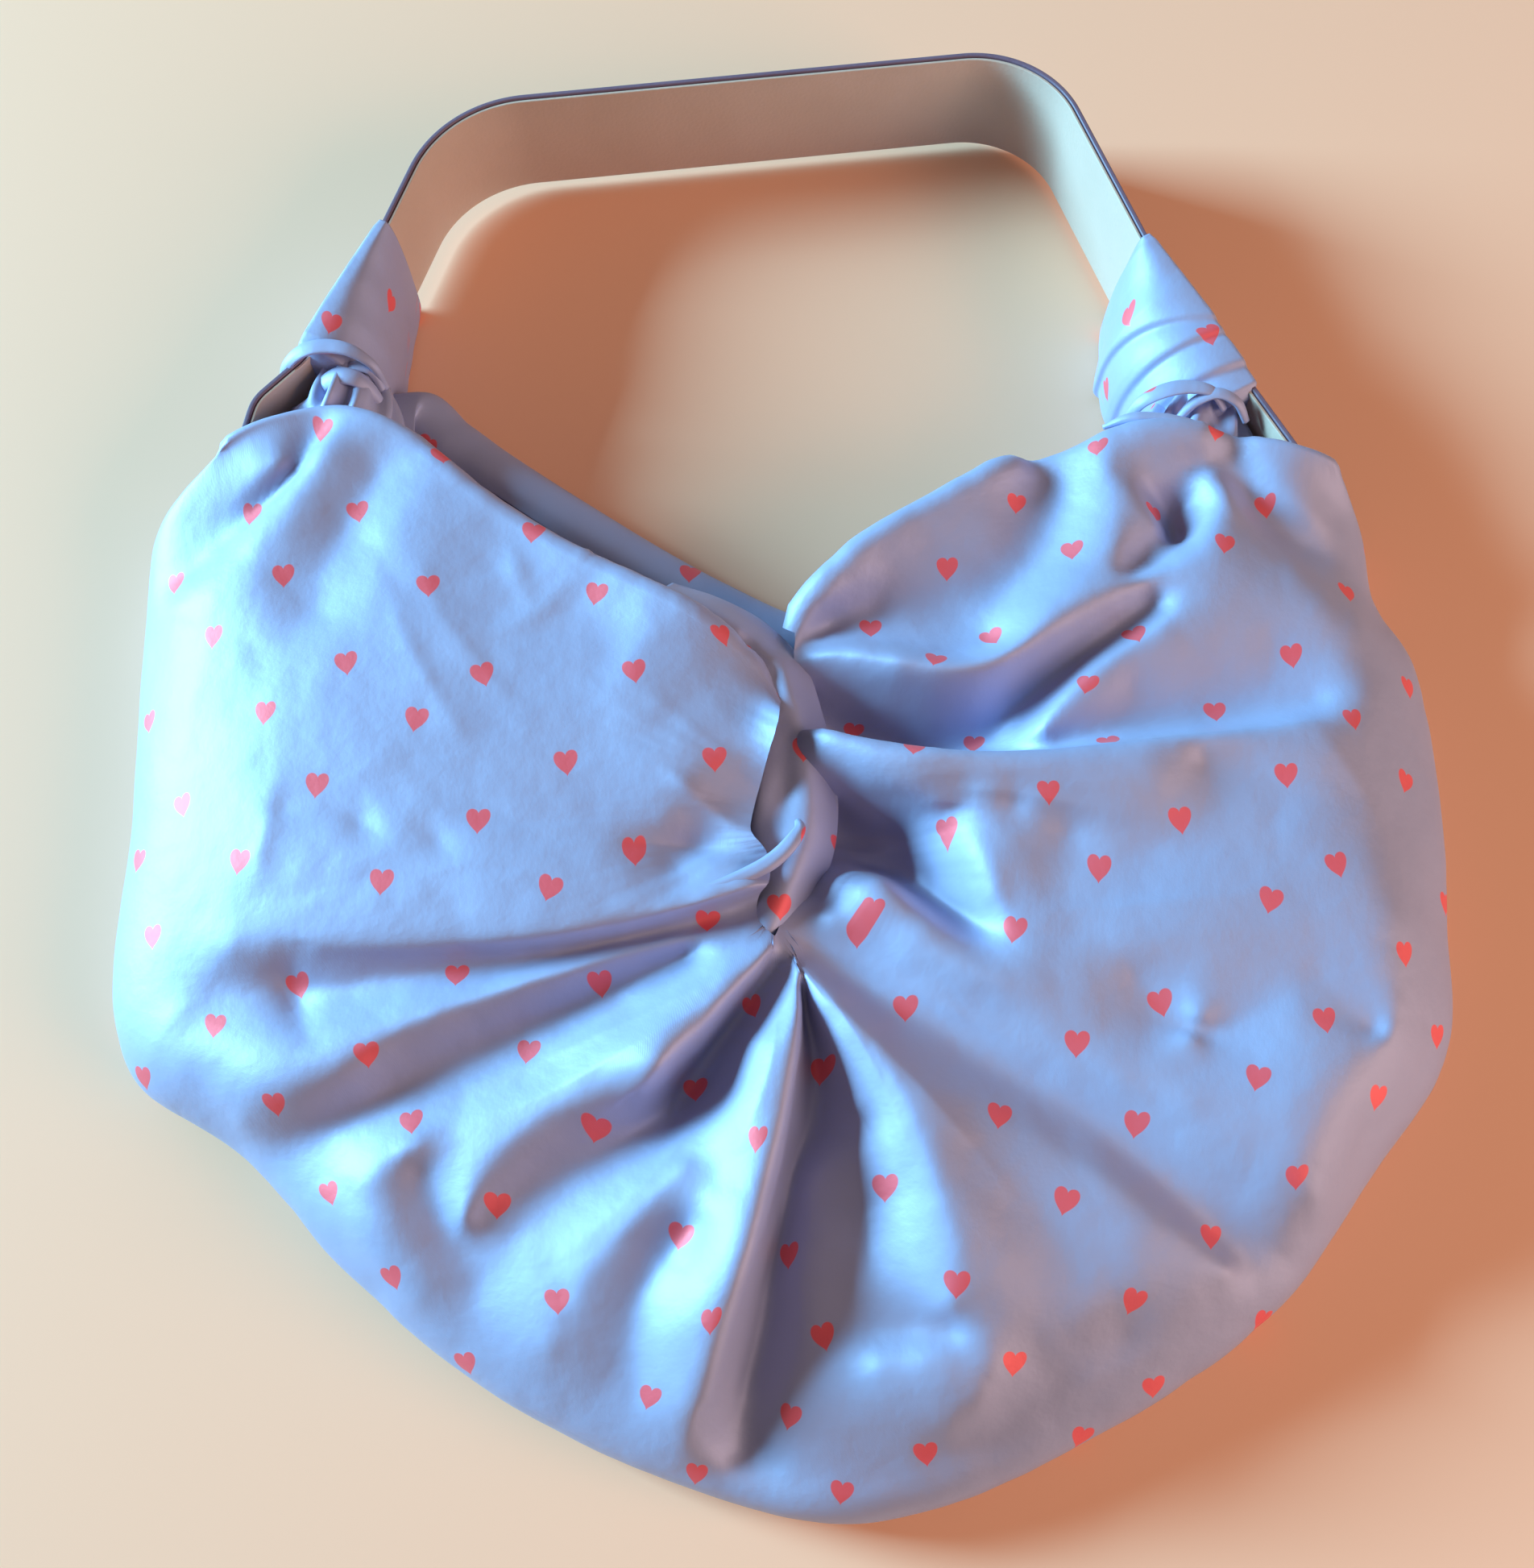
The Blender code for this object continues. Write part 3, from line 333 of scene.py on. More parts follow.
# The two knots: a straight axis down each leg, and sections of the wrapped cloth along it, with
# its reach away from the arch's middle and towards it, and its lowest and highest points. creases
# are where one wrap's edge overlaps the next: a place along the leg and how far the edge slants.
KNOT_COLUMNS = ("along", "near", "far", "low", "high")
KNOTS = {
    "right": {
        "top": (111.5, 180.5),
        "foot": (142.5, 120.5),
        "inward": -1,
        "creases": ((28.0, 15.0), (39.5, 4.0), (52.0, 4.0)),
        "depth": 1.7,
        "sections": (
            (0, 3.4, 4.2, 1.2, 46.0),
            (3, 3.9, 9.5, 0.3, 46.6),
            (12, 4.2, 15.5, 0.0, 46.8),
            (22, 4.4, 24.0, 0.0, 47.2),
            (34, 4.6, 27.0, 0.0, 47.6),
            (44, 4.7, 27.8, 0.0, 47.6),
            (54, 4.6, 27.6, 0.0, 46.6),
            (61, 4.3, 25.5, 0.6, 45.4),
            (64, 2.0, 21.0, 3.0, 42.0),
        ),
    },
    "left": {
        "top": (-129.5, 186.0),
        "foot": (-151.0, 136.5),
        "inward": 1,
        "creases": (),
        "depth": 0.5,
        "sections": (
            (0, 3.4, 3.8, 1.2, 46.0),
            (3, 3.9, 5.0, 0.3, 46.4),
            (12, 4.2, 8.0, 0.0, 46.6),
            (24, 4.4, 12.4, 0.0, 47.0),
            (36, 4.6, 17.2, 0.0, 47.2),
            (47, 4.7, 20.8, 0.0, 47.0),
            (51, 4.6, 21.2, 0.4, 46.2),
            (53.5, 2.0, 17.0, 4.0, 41.0),
        ),
    },
}

# The form of a knot's rings, how each wrap falls away from its edge, and slanting ripples.
KNOT_RING_POINTS = 132
KNOT_STEPS = 110
KNOT_WAIST = 0.3
KNOT_SHOULDER = 0.9
KNOT_CORNER = 0.35
KNOT_REACH = 30.0
KNOT_LOWEST = 0.15
WRAP_FADE = 6.0
WRAP_EDGE = 0.5
RIPPLE_DEPTH = 0.12
RIPPLE_SLANT = 0.3
RIPPLE_TURN = 0.45
RIPPLE_FROM = -0.2

# Gathered cloth between a knot and the bag, and the small strips of hem at the knots: rows of
# centre, half width and half height.
NECK_PLEATS = 11
NECK_PHASE = 1.3
NECK_AROUND = 96
STRIP_PLEATS = 2
NECKS = {
    "right neck": (
        (128, 128, 26, 12, 16), (126, 118, 25, 17, 16), (124, 108, 24, 21, 17), (123, 98, 22, 24, 15)),
    "left neck": (
        (-141, 142, 26, 8, 15), (-139, 133, 26, 11.5, 16), (-139.5, 124, 26, 15, 17),
        (-145, 112, 25, 16, 15)),
}
KNOT_STRIPS = {
    "left cuff": (
        (-159, 130, 34, 1.4, 0.9), (-156, 134.5, 43.5, 2, 0.9), (-150, 137, 47.2, 2.5, 0.8),
        (-143, 137.8, 47.9, 2.6, 0.8), (-136, 136.6, 47.4, 2.2, 0.8), (-130, 134, 44, 1.6, 0.9),
        (-127, 131, 35, 1.2, 0.9)),
    "left bit one": (
        (-149, 127, 34, 2.2, 1.2), (-145, 129.5, 40.5, 2.8, 1.1), (-140, 130.5, 43, 3.2, 1.1),
        (-134.5, 129.5, 42.6, 2.8, 1.1), (-130, 127, 37, 2.2, 1.2), (-128.5, 124, 31, 1.6, 1.2)),
    "left bit two": (
        (-140, 133, 37, 1.4, 1), (-136, 134.5, 42, 2, 1), (-131, 133.5, 42, 1.9, 1),
        (-128, 130, 36, 1.3, 1)),
    "right end one": (
        (103, 119, 33, 1.4, 0.7), (107, 121.8, 42, 2.2, 0.8), (114, 123.6, 45.8, 2.6, 0.8),
        (121, 124, 46.8, 2.4, 0.8), (128, 122.4, 46.2, 1.8, 0.8), (132, 119, 42, 1.2, 0.7)),
    "right end two": (
        (118, 117, 40, 1.2, 0.8), (123, 120.5, 44.6, 1.8, 0.9), (129, 122, 46.4, 2, 0.9),
        (135, 120, 45, 1.7, 0.9), (139, 116, 40, 1.2, 0.8)),
    "right pouch lip": (
        (94, 111.5, 44, 0.8, 0.8), (101, 112.2, 48, 1.6, 1.3), (110, 111.2, 49, 2, 1.5),
        (119, 109.4, 48.8, 1.8, 1.4), (128, 108.4, 46, 0.8, 0.8)),
}

# The band handle: two layers swept along its run (corners in plan, and the radius of each).
BAND_CORNERS = (
    (152.5, 102.7, 0.0),
    (114.0, 175.5, 60.0),
    (84.0, 257.6, 34.0),
    (-114.3, 234.0, 41.0),
    (-131.0, 183.3, 60.0),
    (-151.0, 136.5, 16.0),
    (-164.5, 121.5, 12.0),
    (-167.0, 107.0, 0.0),
)
BAND_LOW = 3.6
BAND_WIDTH = 40.0
OUTER_THICK = 1.6
LINING_THICK = 1.0
LINING_INSET = 0.5
LAYER_GAP = 0.3
BAND_STEP = 1.5
EDGE_FACETS = 4
BAND_LAYERS = {
    "band_outer": {
        "leather": "band leather",
        "tones": ((0.13, 0.085, 0.14), (0.19, 0.13, 0.19)),
        "roughness": 0.42,
        "sizes": {
            "Width": BAND_WIDTH,
            "Thickness": OUTER_THICK,
            "Offset": 0.5 * (LAYER_GAP + OUTER_THICK),
            "Edge radius": 0.45,
        },
    },
    "band_lining": {
        "leather": "lining leather",
        "tones": ((0.50, 0.38, 0.31), (0.58, 0.45, 0.38)),
        "roughness": 0.5,
        "sizes": {
            "Width": BAND_WIDTH - 2 * LINING_INSET,
            "Thickness": LINING_THICK,
            "Offset": -0.5 * (LAYER_GAP + LINING_THICK),
            "Edge radius": 0.3,
        },
    },
}

# The print: hearts on a square lattice that is turned. A heart strays within a share of its cell and
# tilts by an angle in radians; it is a circle of half its width, squat, with a cleft drawn into it.
HEART_SPACING = 31.0
HEART_LATTICE_TURN = 37.0
HEART_HALF_WIDTH = 3.4
HEART_STRAY = 0.34
HEART_TILT = 0.3
HEART_CLEFT = 0.85
HEART_DROP = 0.1
HEART_SQUAT = 1.12
HEART_EDGE = (0.88, 1.08)

# Where the print starts on the pieces that are wound or rolled.
TWIST_PRINT_AT = (21.7, -11.2)
ROLL_PRINT_AT = (17.0, 9.0)
STRIP_PRINT_STEP = (11.0, 23.0)

# The print's map: grids of these strides are spread in turn, in rounds of small pushes.
PRINT_STRIDES = (16, 8)
PRINT_ROUNDS = 70
PRINT_PUSH = 0.22
PRINT_BLUR = 6
MOST_SLACK = 2

# The darkest and lightest tone of each colour, and textures: features a metre and relief in metres.
GROUND_TONES = ((0.335, 0.365, 0.58), (0.385, 0.415, 0.635))
HEART_TONES = ((0.80, 0.10, 0.13), (0.88, 0.14, 0.17))
CLOTH_CLOUDS = 34.0
THREADS = 1100.0
THREAD_TURN = 28.0
THREAD_SHARE = 0.5
THREAD_RELIEF = 0.00015
FIBRES = 900.0
FIBRE_SHARE = 0.7
SMALL_CREASES = 110.0
CREASE_RELIEF = 0.0012
WORN_CLOUDS = 42.0
PEBBLES = 900.0
PEBBLE_RELIEF = 0.0002
PORES = 2600.0

# The floor and the light, in metres and watts.
FLOOR_COLOUR = (0.96, 0.52, 0.34)
FLOOR_REACH = 3.0
LIGHTS = {
    "key": {"place": (-2.7, 0.74, 1.04), "size": 1.0, "power": 300.0, "colour": (0.31, 0.74, 1.0)},
    "fill": {"place": (1.5, -0.6, 0.75), "size": 1.2, "power": 24.0, "colour": (1.0, 0.68, 0.52)},
}
SKY_COLOUR = (1.0, 0.78, 0.66)
SKY_STRENGTH = 0.19

# Where the photograph's camera stands, over the floor and tilted from straight down.
CAMERA_AT = (-8.1, -162.1, 479.2)
CAMERA_TILT = 20.0
CAMERA_LENS = 38.0
CAMERA_NEAREST = 0.01


def unit(vectors):
    return vectors / np.maximum(np.linalg.norm(vectors, axis=-1, keepdims=True), TINY)


def left_of(directions):
    return np.stack([-directions[..., 1], directions[..., 0]], axis=-1)


def along(points):
    """How far along its line each point is."""
    steps = np.linalg.norm(np.diff(points, axis=0), axis=1)
    return np.concatenate(([0.0], np.cumsum(steps)))


def spline(table, knots, places):
    """Each column of the table, read at the places by a smooth curve through its rows."""
    table = np.asarray(table, float)
    slopes = np.gradient(table, knots, axis=0)
    row = np.clip(np.searchsorted(knots, places, side="right") - 1, 0, len(knots) - 2)
    span = (knots[row + 1] - knots[row])[:, None]
    t = (places - knots[row])[:, None] / span
    start = (1 + 2 * t) * (1 - t) ** 2 * table[row] + t * (1 - t) ** 2 * span * slopes[row]
    end = t * t * (3 - 2 * t) * table[row + 1] + t * t * (t - 1) * span * slopes[row + 1]
    return start + end


def swell(share, peak):
    """A smooth hump over 0 to 1 that is highest, 1, at the peak."""
    return np.sin(math.pi * share ** (math.log(0.5) / np.log(peak)))


def crumple(points, size, seed):
    """Sharp-crested noise at each point, with features of about the given size."""
    offset = Vector(CRUMPLE_SHIFT) * seed
    found = [noise.noise(Vector(p) / size + offset) for p in points.tolist()]
    return 1.0 - CRUMPLE_SHARPNESS * np.abs(np.array(found))


def fold_move(points, fold):
    """How one fold moves plan points: a sideways lean and a rise, fading away from its curve."""
    f = dict(zip(FOLD_COLUMNS, fold))
    ends = np.array([(f["x0"], f["y0"]), (f["x2"], f["y2"])], float)
    pull = 2 * np.array((f["x1"], f["y1"]), float) - ends.mean(axis=0)
    t = np.linspace(0, 1, FOLD_CURVE_POINTS)[:, None]
    curve = (1 - t) ** 2 * ends[0] + 2 * t * (1 - t) * pull + t * t * ends[1]
    reach = FOLD_REACH * max(f["left"], f["right"])
    low, high = curve.min(axis=0) - reach, curve.max(axis=0) + reach
    near = np.flatnonzero(((points > low) & (points < high)).all(axis=1))
    p = points[near]
    nearest = np.full(len(p), np.inf)
    side = np.zeros(len(p))
    place = np.zeros(len(p))
    for i in range(len(curve) - 1):
        run = curve[i + 1] - curve[i]
        share = np.clip((p - curve[i]) @ run / (run @ run), 0, 1)
        away = p - curve[i] - share[:, None] * run
        distance = np.linalg.norm(away, axis=1)
        closer = distance < nearest
        nearest[closer] = distance[closer]
        side[closer] = (run[0] * away[:, 1] - run[1] * away[:, 0])[closer]
        place[closer] = (i + share[closer]) / (len(curve) - 1)
    heights = np.interp(place, (0, 0.5, 1), (f["h0"], f["h1"], f["h2"]))
    spread = np.where(side > 0, f["left"], f["right"])
    tangent = unit(np.column_stack([np.interp(place, t[:, 0], g) for g in np.gradient(curve, axis=0).T]))
    lean = f["lean"] * heights / max(abs(f["h0"]), abs(f["h1"]), abs(f["h2"]))
    lean *= np.exp(-((nearest / (LEAN_SPREAD * spread)) ** 2))
    moves = np.zeros((len(points), 3))
    moves[near, :2] = left_of(tangent) * lean[:, None]
    moves[near, 2] = heights * np.exp(-((nearest / spread) ** f["crest"]))
    return moves


def evened(points, step):
    """Points a step apart along a line, its corners softened."""
    points = np.array(points, float)
    if len(points) < 2:
        return points
    knots = along(points[:, :2])
    places = np.linspace(0, knots[-1], max(2, round(knots[-1] / step) + 1))
    return spline(points, knots, places)


def nearest_row(places, points):
    """For each place in plan, the index of the point nearest to it."""
    return np.array([np.argmin(((points - place) ** 2).sum(axis=1)) for place in places])


def drawn_between(places, at, values):
    """Values read at the places off a taut surface through those given at some points."""
    def spread(a, b):
        return -np.sqrt(((a[:, None] - b[None]) ** 2).sum(axis=-1) + LINE_SOFTNESS ** 2)

    size = len(at)
    system = np.ones((size + 1, size + 1))
    system[:size, :size] = spread(at, at) + LINE_EASE * np.eye(size)
    system[size, size] = 0.0
    weights = np.linalg.solve(system, np.append(values, 0.0))
    batches = np.array_split(places, PLACE_BATCHES)
    return np.concatenate([spread(batch, at) @ weights[:size] + weights[size] for batch in batches])


def rise_between_lines(front, rim):
    """How far the traced lines lift or sink each point of the smooth front."""
    ties = rim[np.linspace(0, len(rim) - 1, RIM_TIES).astype(int), :2]
    traced = np.concatenate([evened(line, LINE_STEP) for line in LINES.values()])
    rises = traced[:, 2] - front[nearest_row(traced[:, :2], front[:, :2]), 2]
    at = np.concatenate([traced[:, :2], ties])
    return drawn_between(front[:, :2], at, np.append(rises, np.zeros(len(ties))))


def sheet_form():
    """The folded cloth as a grid of points, sections across and root to tucked hem along each."""
    table = np.array(list(SECTIONS.values()), float)
    knots = along(table[:, 3:5])
    s = spline(table, knots, np.linspace(0, knots[-1], ACROSS_STEPS))
    value = {name: s[:, i] for i, name in enumerate(SECTION_COLUMNS)}
    root = np.stack([value["root_x"], value["root_y"]], axis=-1)
    rim = np.stack([value["rim_x"], value["rim_y"]], axis=-1)
    hem = np.stack([value["hem_x"], value["hem_y"]], axis=-1)
    rim_out = left_of(unit(np.gradient(rim, axis=0)))
    hem_out = -left_of(unit(np.gradient(hem, axis=0)))
    sideways = left_of(unit(rim - root))

    rows = []
    fades = []
    for t in np.linspace(0, 1, FRONT_STEPS) ** RIM_CROWDING:
        bow = value["bow_in"] * swell(t, INNER_PEAK) + value["bow_out"] * swell(t, value["peak"])
        plan = root + (rim - root) * t + sideways * bow[:, None]
        rise = np.clip(t / RISE_SHARE, 0, 1)
        rise = rise * rise * (3 - 2 * rise)
        crown = value["root_z"] + (value["crown"] - value["root_z"]) * rise
        height = value["rim_z"] + (crown - value["rim_z"]) * np.sqrt(1 - t ** value["square"])
        rows.append(np.column_stack([plan, height]))
        fades.append(np.full(len(plan), 1 - t ** FOLD_FADE_POWER))
    for step in range(1, WALL_STEPS + 1):
        turn = 0.5 * math.pi * step / WALL_STEPS
        plan = rim - rim_out * (value["tuck"] * (1 - math.cos(turn)))[:, None]
        rows.append(np.column_stack([plan, value["rim_z"] * (1 - math.sin(turn))]))
    foot = rim - rim_out * value["tuck"][:, None]
    edge = hem - hem_out * value["hem_r"][:, None]
    for step in range(1, BACK_STEPS + 1):
        plan = foot + (edge - foot) * (step / BACK_STEPS)
        rows.append(np.column_stack([plan, np.zeros(len(plan))]))
    for step in range(1, ROLL_STEPS + 1):
        turn = math.radians(HEM_ROLL_DEGREES) * step / ROLL_STEPS
        plan = edge + hem_out * (value["hem_r"] * math.sin(turn))[:, None]
        rows.append(np.column_stack([plan, value["hem_r"] * (1 - math.cos(turn))]))
    form = np.stack(rows, axis=1)

    front = form[:, :FRONT_STEPS].reshape(-1, 3)
    fade = np.stack(fades, axis=1).reshape(-1, 1)
    moved = np.zeros_like(front)
    moved[:, 2] = rise_between_lines(front, form[:, FRONT_STEPS - 1])
    for fold in (*FOLDS.values(), *CREASES.values()):
        moved += fold_move(front[:, :2], fold)
    form[:, :FRONT_STEPS] = (front + moved * fade).reshape(ACROSS_STEPS, FRONT_STEPS, 3)
    return form


def with_crumples(form):
    """The form with the small crumples of soft cloth, radial by the twist and even elsewhere."""
    across, down = form.shape[:2]
    points = form.reshape(-1, 3)
    from_twist = points[:, :2] - np.array(TWIST_CENTRE)
    reach = np.linalg.norm(from_twist, axis=1)
    angle = np.arctan2(from_twist[:, 1], from_twist[:, 0])
    fan = np.column_stack([FAN_RADIUS * np.cos(angle), FAN_RADIUS * np.sin(angle), reach / FAN_LENGTH])
    lift = FAN_DEPTH * np.exp(-reach / FAN_FADE) * crumple(fan, 1.0, FAN_SEED)
    for depth, size, seed in EVEN_CRUMPLES:
        lift += depth * crumple(points, size, seed)
    outwards = unit(np.cross(np.gradient(form, axis=1), np.gradient(form, axis=0)))
    share = np.ones(down)
    share[FRONT_STEPS:] = np.linspace(1, 0, down - FRONT_STEPS) ** 3
    return form + outwards * lift.reshape(across, down, 1) * share[None, :, None]


def with_rolled_lips(form):
    """The grid with rows added past its first and last sections, which curl in and hang a little."""
    place = np.arange(form.shape[1])
    share = place / FRONT_STEPS
    on_back = (place > FRONT_STEPS + 0.5 * WALL_STEPS)[:, None]
    wide = np.clip((SIDE_TIGHT_SHARE - share) / (SIDE_TIGHT_SHARE - LIP_WIDE_SHARE), 0, 1)[:, None]
    radius = SIDE_RADIUS + (LIP_RADIUS - SIDE_RADIUS) * wide
    turns = np.radians(LIP_CURL_DEGREES) * np.arange(1, LIP_STEPS + 1) / LIP_STEPS
    curls = []
    for edge, beside, hand in ((form[0], form[1], 1), (form[-1], form[-2], -1)):
        down = unit(np.gradient(edge, axis=0))
        out = edge - beside
        out = unit(out - (out * down).sum(-1, keepdims=True) * down)
        inwards = np.where(on_back, (0.0, 0.0, 1.0), hand * np.cross(out, down))
        curls.append([edge + radius * (math.sin(a) * out + (1 - math.cos(a)) * inwards) for a in turns])
    return np.stack([*curls[0][::-1], *form, *curls[1]], axis=0)


def smoothed(form, rounds):
    """The grid with its inner points drawn towards their neighbours' middle."""
    form = form.copy()
    for _ in range(rounds):
        middle = 0.25 * (form[:-2, 1:-1] + form[2:, 1:-1] + form[1:-1, :-2] + form[1:-1, 2:])
        form[1:-1, 1:-1] += 0.5 * (middle - form[1:-1, 1:-1])
    return form


def lengths_over(form, axis, kept):
    """How far it is over the cloth from each kept grid point to the next one along the axis."""
    steps = np.linalg.norm(np.diff(form, axis=axis), axis=-1)
    total = np.insert(np.cumsum(steps, axis=axis), 0, 0, axis=axis)
    return np.diff(total[kept], axis=axis)


def spread_out(part, solid, lengths, rounds):
    """The flat grid after its edges and diagonals are pushed towards their lengths in the folds."""
    straight = [np.linalg.norm(np.diff(solid, axis=axis), axis=-1) for axis in (0, 1)]
    slack = [np.clip(p / np.maximum(s, TINY), 1, MOST_SLACK) for p, s in zip(lengths, straight)]
    cross = 0.5 * (slack[0][:, :-1] + slack[1][:-1, :])
    falling = np.linalg.norm(solid[1:, 1:] - solid[:-1, :-1], axis=-1) * cross
    rising = np.linalg.norm(solid[:-1, 1:] - solid[1:, :-1], axis=-1) * cross
    links = (
        (np.s_[:-1, :], np.s_[1:, :], lengths[0]),
        (np.s_[:, :-1], np.s_[:, 1:], lengths[1]),
        (np.s_[:-1, :-1], np.s_[1:, 1:], falling),
        (np.s_[1:, :-1], np.s_[:-1, 1:], rising),
    )
    for _ in range(rounds):
        push = np.zeros_like(part)
        for first, second, length in links:
            gap = part[second] - part[first]
            now = np.maximum(np.linalg.norm(gap, axis=-1, keepdims=True), TINY)
            step = 0.5 * gap * (1 - length[..., None] / now)
            push[first] += step
            push[second] -= step
        part = part + PRINT_PUSH * push
    return part


def flattened(form):
    """Where each point of a folded grid lay in the flat cloth: its place in plan, spread until
    every edge is as long as it is in the folds. Coarse grids are spread before fine ones."""
    flat = form[..., :2].copy()
    everywhere = [np.arange(size) for size in form.shape[:2]]
    for stride in PRINT_STRIDES:
        rows, columns = (np.unique(np.append(line[::stride], line[-1])) for line in everywhere)
        kept = np.ix_(rows, columns)
        lengths = [lengths_over(form, axis, kept) for axis in (0, 1)]
        spread = spread_out(flat[kept], form[kept], lengths, PRINT_ROUNDS * stride)
        moved = smoothed(spread - flat[kept], PRINT_BLUR)
        for k in (0, 1):
            wide = np.stack([np.interp(everywhere[0], rows, line) for line in moved[..., k].T], axis=1)
            flat[..., k] += np.stack([np.interp(everywhere[1], columns, line) for line in wide])
    return flat


def placed(name, data):
    """A new object of the given data, in the scene."""
    obj = bpy.data.objects.new(name, data)
    bpy.context.scene.collection.objects.link(obj)
    return obj


def grid_piece(name, form, flat, finish, ring=False):
    """A smooth mesh of a grid of points in millimetres, its print laid by flat, also millimetres.
    A ring joins the grid's last column to its first."""
    rows, columns = form.shape[:2]
    i, j = np.meshgrid(np.arange(rows - 1), np.arange(columns if ring else columns - 1), indexing="ij")
    k = (j + 1) % columns
    corners = (i * columns + j, (i + 1) * columns + j, (i + 1) * columns + k, i * columns + k)
    faces = np.stack(corners, -1).reshape(-1, 4)
    mesh = bpy.data.meshes.new(name)
    mesh.from_pydata((form.reshape(-1, 3) * MM).tolist(), [], faces.tolist())
    print_map = mesh.uv_layers.new(name="print")
    print_map.data.foreach_set("uv", (flat.reshape(-1, 2)[faces.reshape(-1)] * MM).ravel())
    mesh.polygons.foreach_set("use_smooth", [True] * len(mesh.polygons))
    mesh.materials.append(finish)
    return placed(name, mesh)


def tube_piece(name, form, flat, finish):
    """A closed mesh of a row of rings, each of its two ends closed by a face."""
    rings, around = form.shape[:2]
    obj = grid_piece(name, form, flat, finish, ring=True)
    shell = bmesh.new()
    shell.from_mesh(obj.data)
    shell.verts.ensure_lookup_table()
    shell.faces.new([shell.verts[j] for j in range(around)][::-1])
    shell.faces.new([shell.verts[(rings - 1) * around + j] for j in range(around)])
    for face in shell.faces:
        face.smooth = True
    bmesh.ops.recalc_face_normals(shell, faces=shell.faces)
    shell.to_mesh(obj.data)
    shell.free()
    return obj


def strand(name, path, finish, pleats, seed=0, around=STRAND_AROUND, print_at=(0.0, 0.0)):
    """A rolled or gathered length of cloth along a path of centres and half sizes, pleated."""
    table = np.array(path, float)
    knots = along(table[:, :3])
    stations = np.linspace(0, knots[-1], STRAND_STEPS)
    s = spline(table, knots, stations)
    centre, wide, high = s[:, :3], np.maximum(s[:, 3], THINNEST), np.maximum(s[:, 4], THINNEST)
    forward = unit(np.gradient(centre, axis=0))
    across = unit(np.cross(forward, (0.0, 0.0, 1.0)))
    upward = np.cross(across, forward)
    turn = np.linspace(0, 2 * math.pi, around, endpoint=False)
    length = stations[:, None]
    ridge = 0.5 * np.cos(pleats * turn + PLEAT_WIND * length + seed)
    ridge = ridge + 0.3 * np.cos((pleats + FINER_PLEATS) * turn - FINE_PLEAT_WIND * length)
    swelling = 1 + PLEAT_DEPTH * ridge * np.clip(np.minimum(wide, high)[:, None] / 3.0, 0.4, 1.4)
    c = np.cos(turn) * swelling
    d = np.sin(turn) * swelling
    form = (centre[:, None] + across[:, None] * (wide[:, None] * c)[..., None]
            + upward[:, None] * (high[:, None] * d)[..., None])
    girth = (turn - 0.5 * math.pi) * np.mean([wide.mean(), high.mean()])
    flat = np.stack(np.broadcast_arrays(girth[None, :] + print_at[0], length + print_at[1]), axis=-1)
    return tube_piece(name, form, flat, finish)


def twist_form():
    """Rings along the twist: tops drawn taut between its traced lines, over a rounded underside."""
    table = np.array(TWIST_SPINE, float)
    knots = along(table[:, :2])
    s = spline(table, knots, np.linspace(0, knots[-1], TWIST_STEPS))
    sideways = left_of(unit(np.gradient(s[:, :2], axis=0)))
    turn = np.linspace(0, 2 * math.pi, TWIST_AROUND, endpoint=False)
    plan = s[:, None, :2] + sideways[:, None] * (s[:, None, 2] * np.cos(turn))[..., None]
    traced = np.concatenate([evened(line, 0.5 * LINE_STEP) for line in TWIST_LINES.values()])
    top = drawn_between(plan.reshape(-1, 2), traced[:, :2], traced[:, 2]).reshape(plan.shape[:2])
    under = s[:, None, 3]
    share = np.sin(turn)
    upper = np.maximum(top, under + TWIST_THINNEST) - under
    height = under + np.where(share < 0, TWIST_BELLY * share, upper * np.clip(share, 0, 1) ** TWIST_SHOULDER)
    return np.concatenate([plan, height[..., None]], axis=-1)


def knot_ring(knot, s, turn):
    """One section of a knot, s along its leg: how far its points lie from the axis, and how high."""
    columns = dict(zip(KNOT_COLUMNS, np.array(knot["sections"], float).T))
    near, far, low, high = (np.interp(s, columns["along"], columns[n]) for n in KNOT_COLUMNS[1:])
    c, d = np.cos(turn), np.sin(turn)
    power = np.where((c > 0) & (d > 0), KNOT_SHOULDER, KNOT_CORNER)
    waist = low + KNOT_WAIST * (high - low)
    offset = np.where(c > 0, far, near) * np.copysign(np.abs(c) ** power, c)
    z = waist + np.where(d > 0, high - waist, waist - low) * np.copysign(np.abs(d) ** power, d)
    drop = RIPPLE_DEPTH * np.sin((s + RIPPLE_SLANT * offset) * RIPPLE_TURN) * (c > RIPPLE_FROM)
    for crease, slant in knot["creases"]:
        past = s - crease - slant * (0.5 - offset / KNOT_REACH)
        drop += knot["depth"] * np.exp(-np.maximum(past, 0) / WRAP_FADE) / (1 + np.exp(-past / WRAP_EDGE))
    return offset - drop * c * (c > 0), np.clip(z - drop * np.maximum(d, 0), KNOT_LOWEST, None)


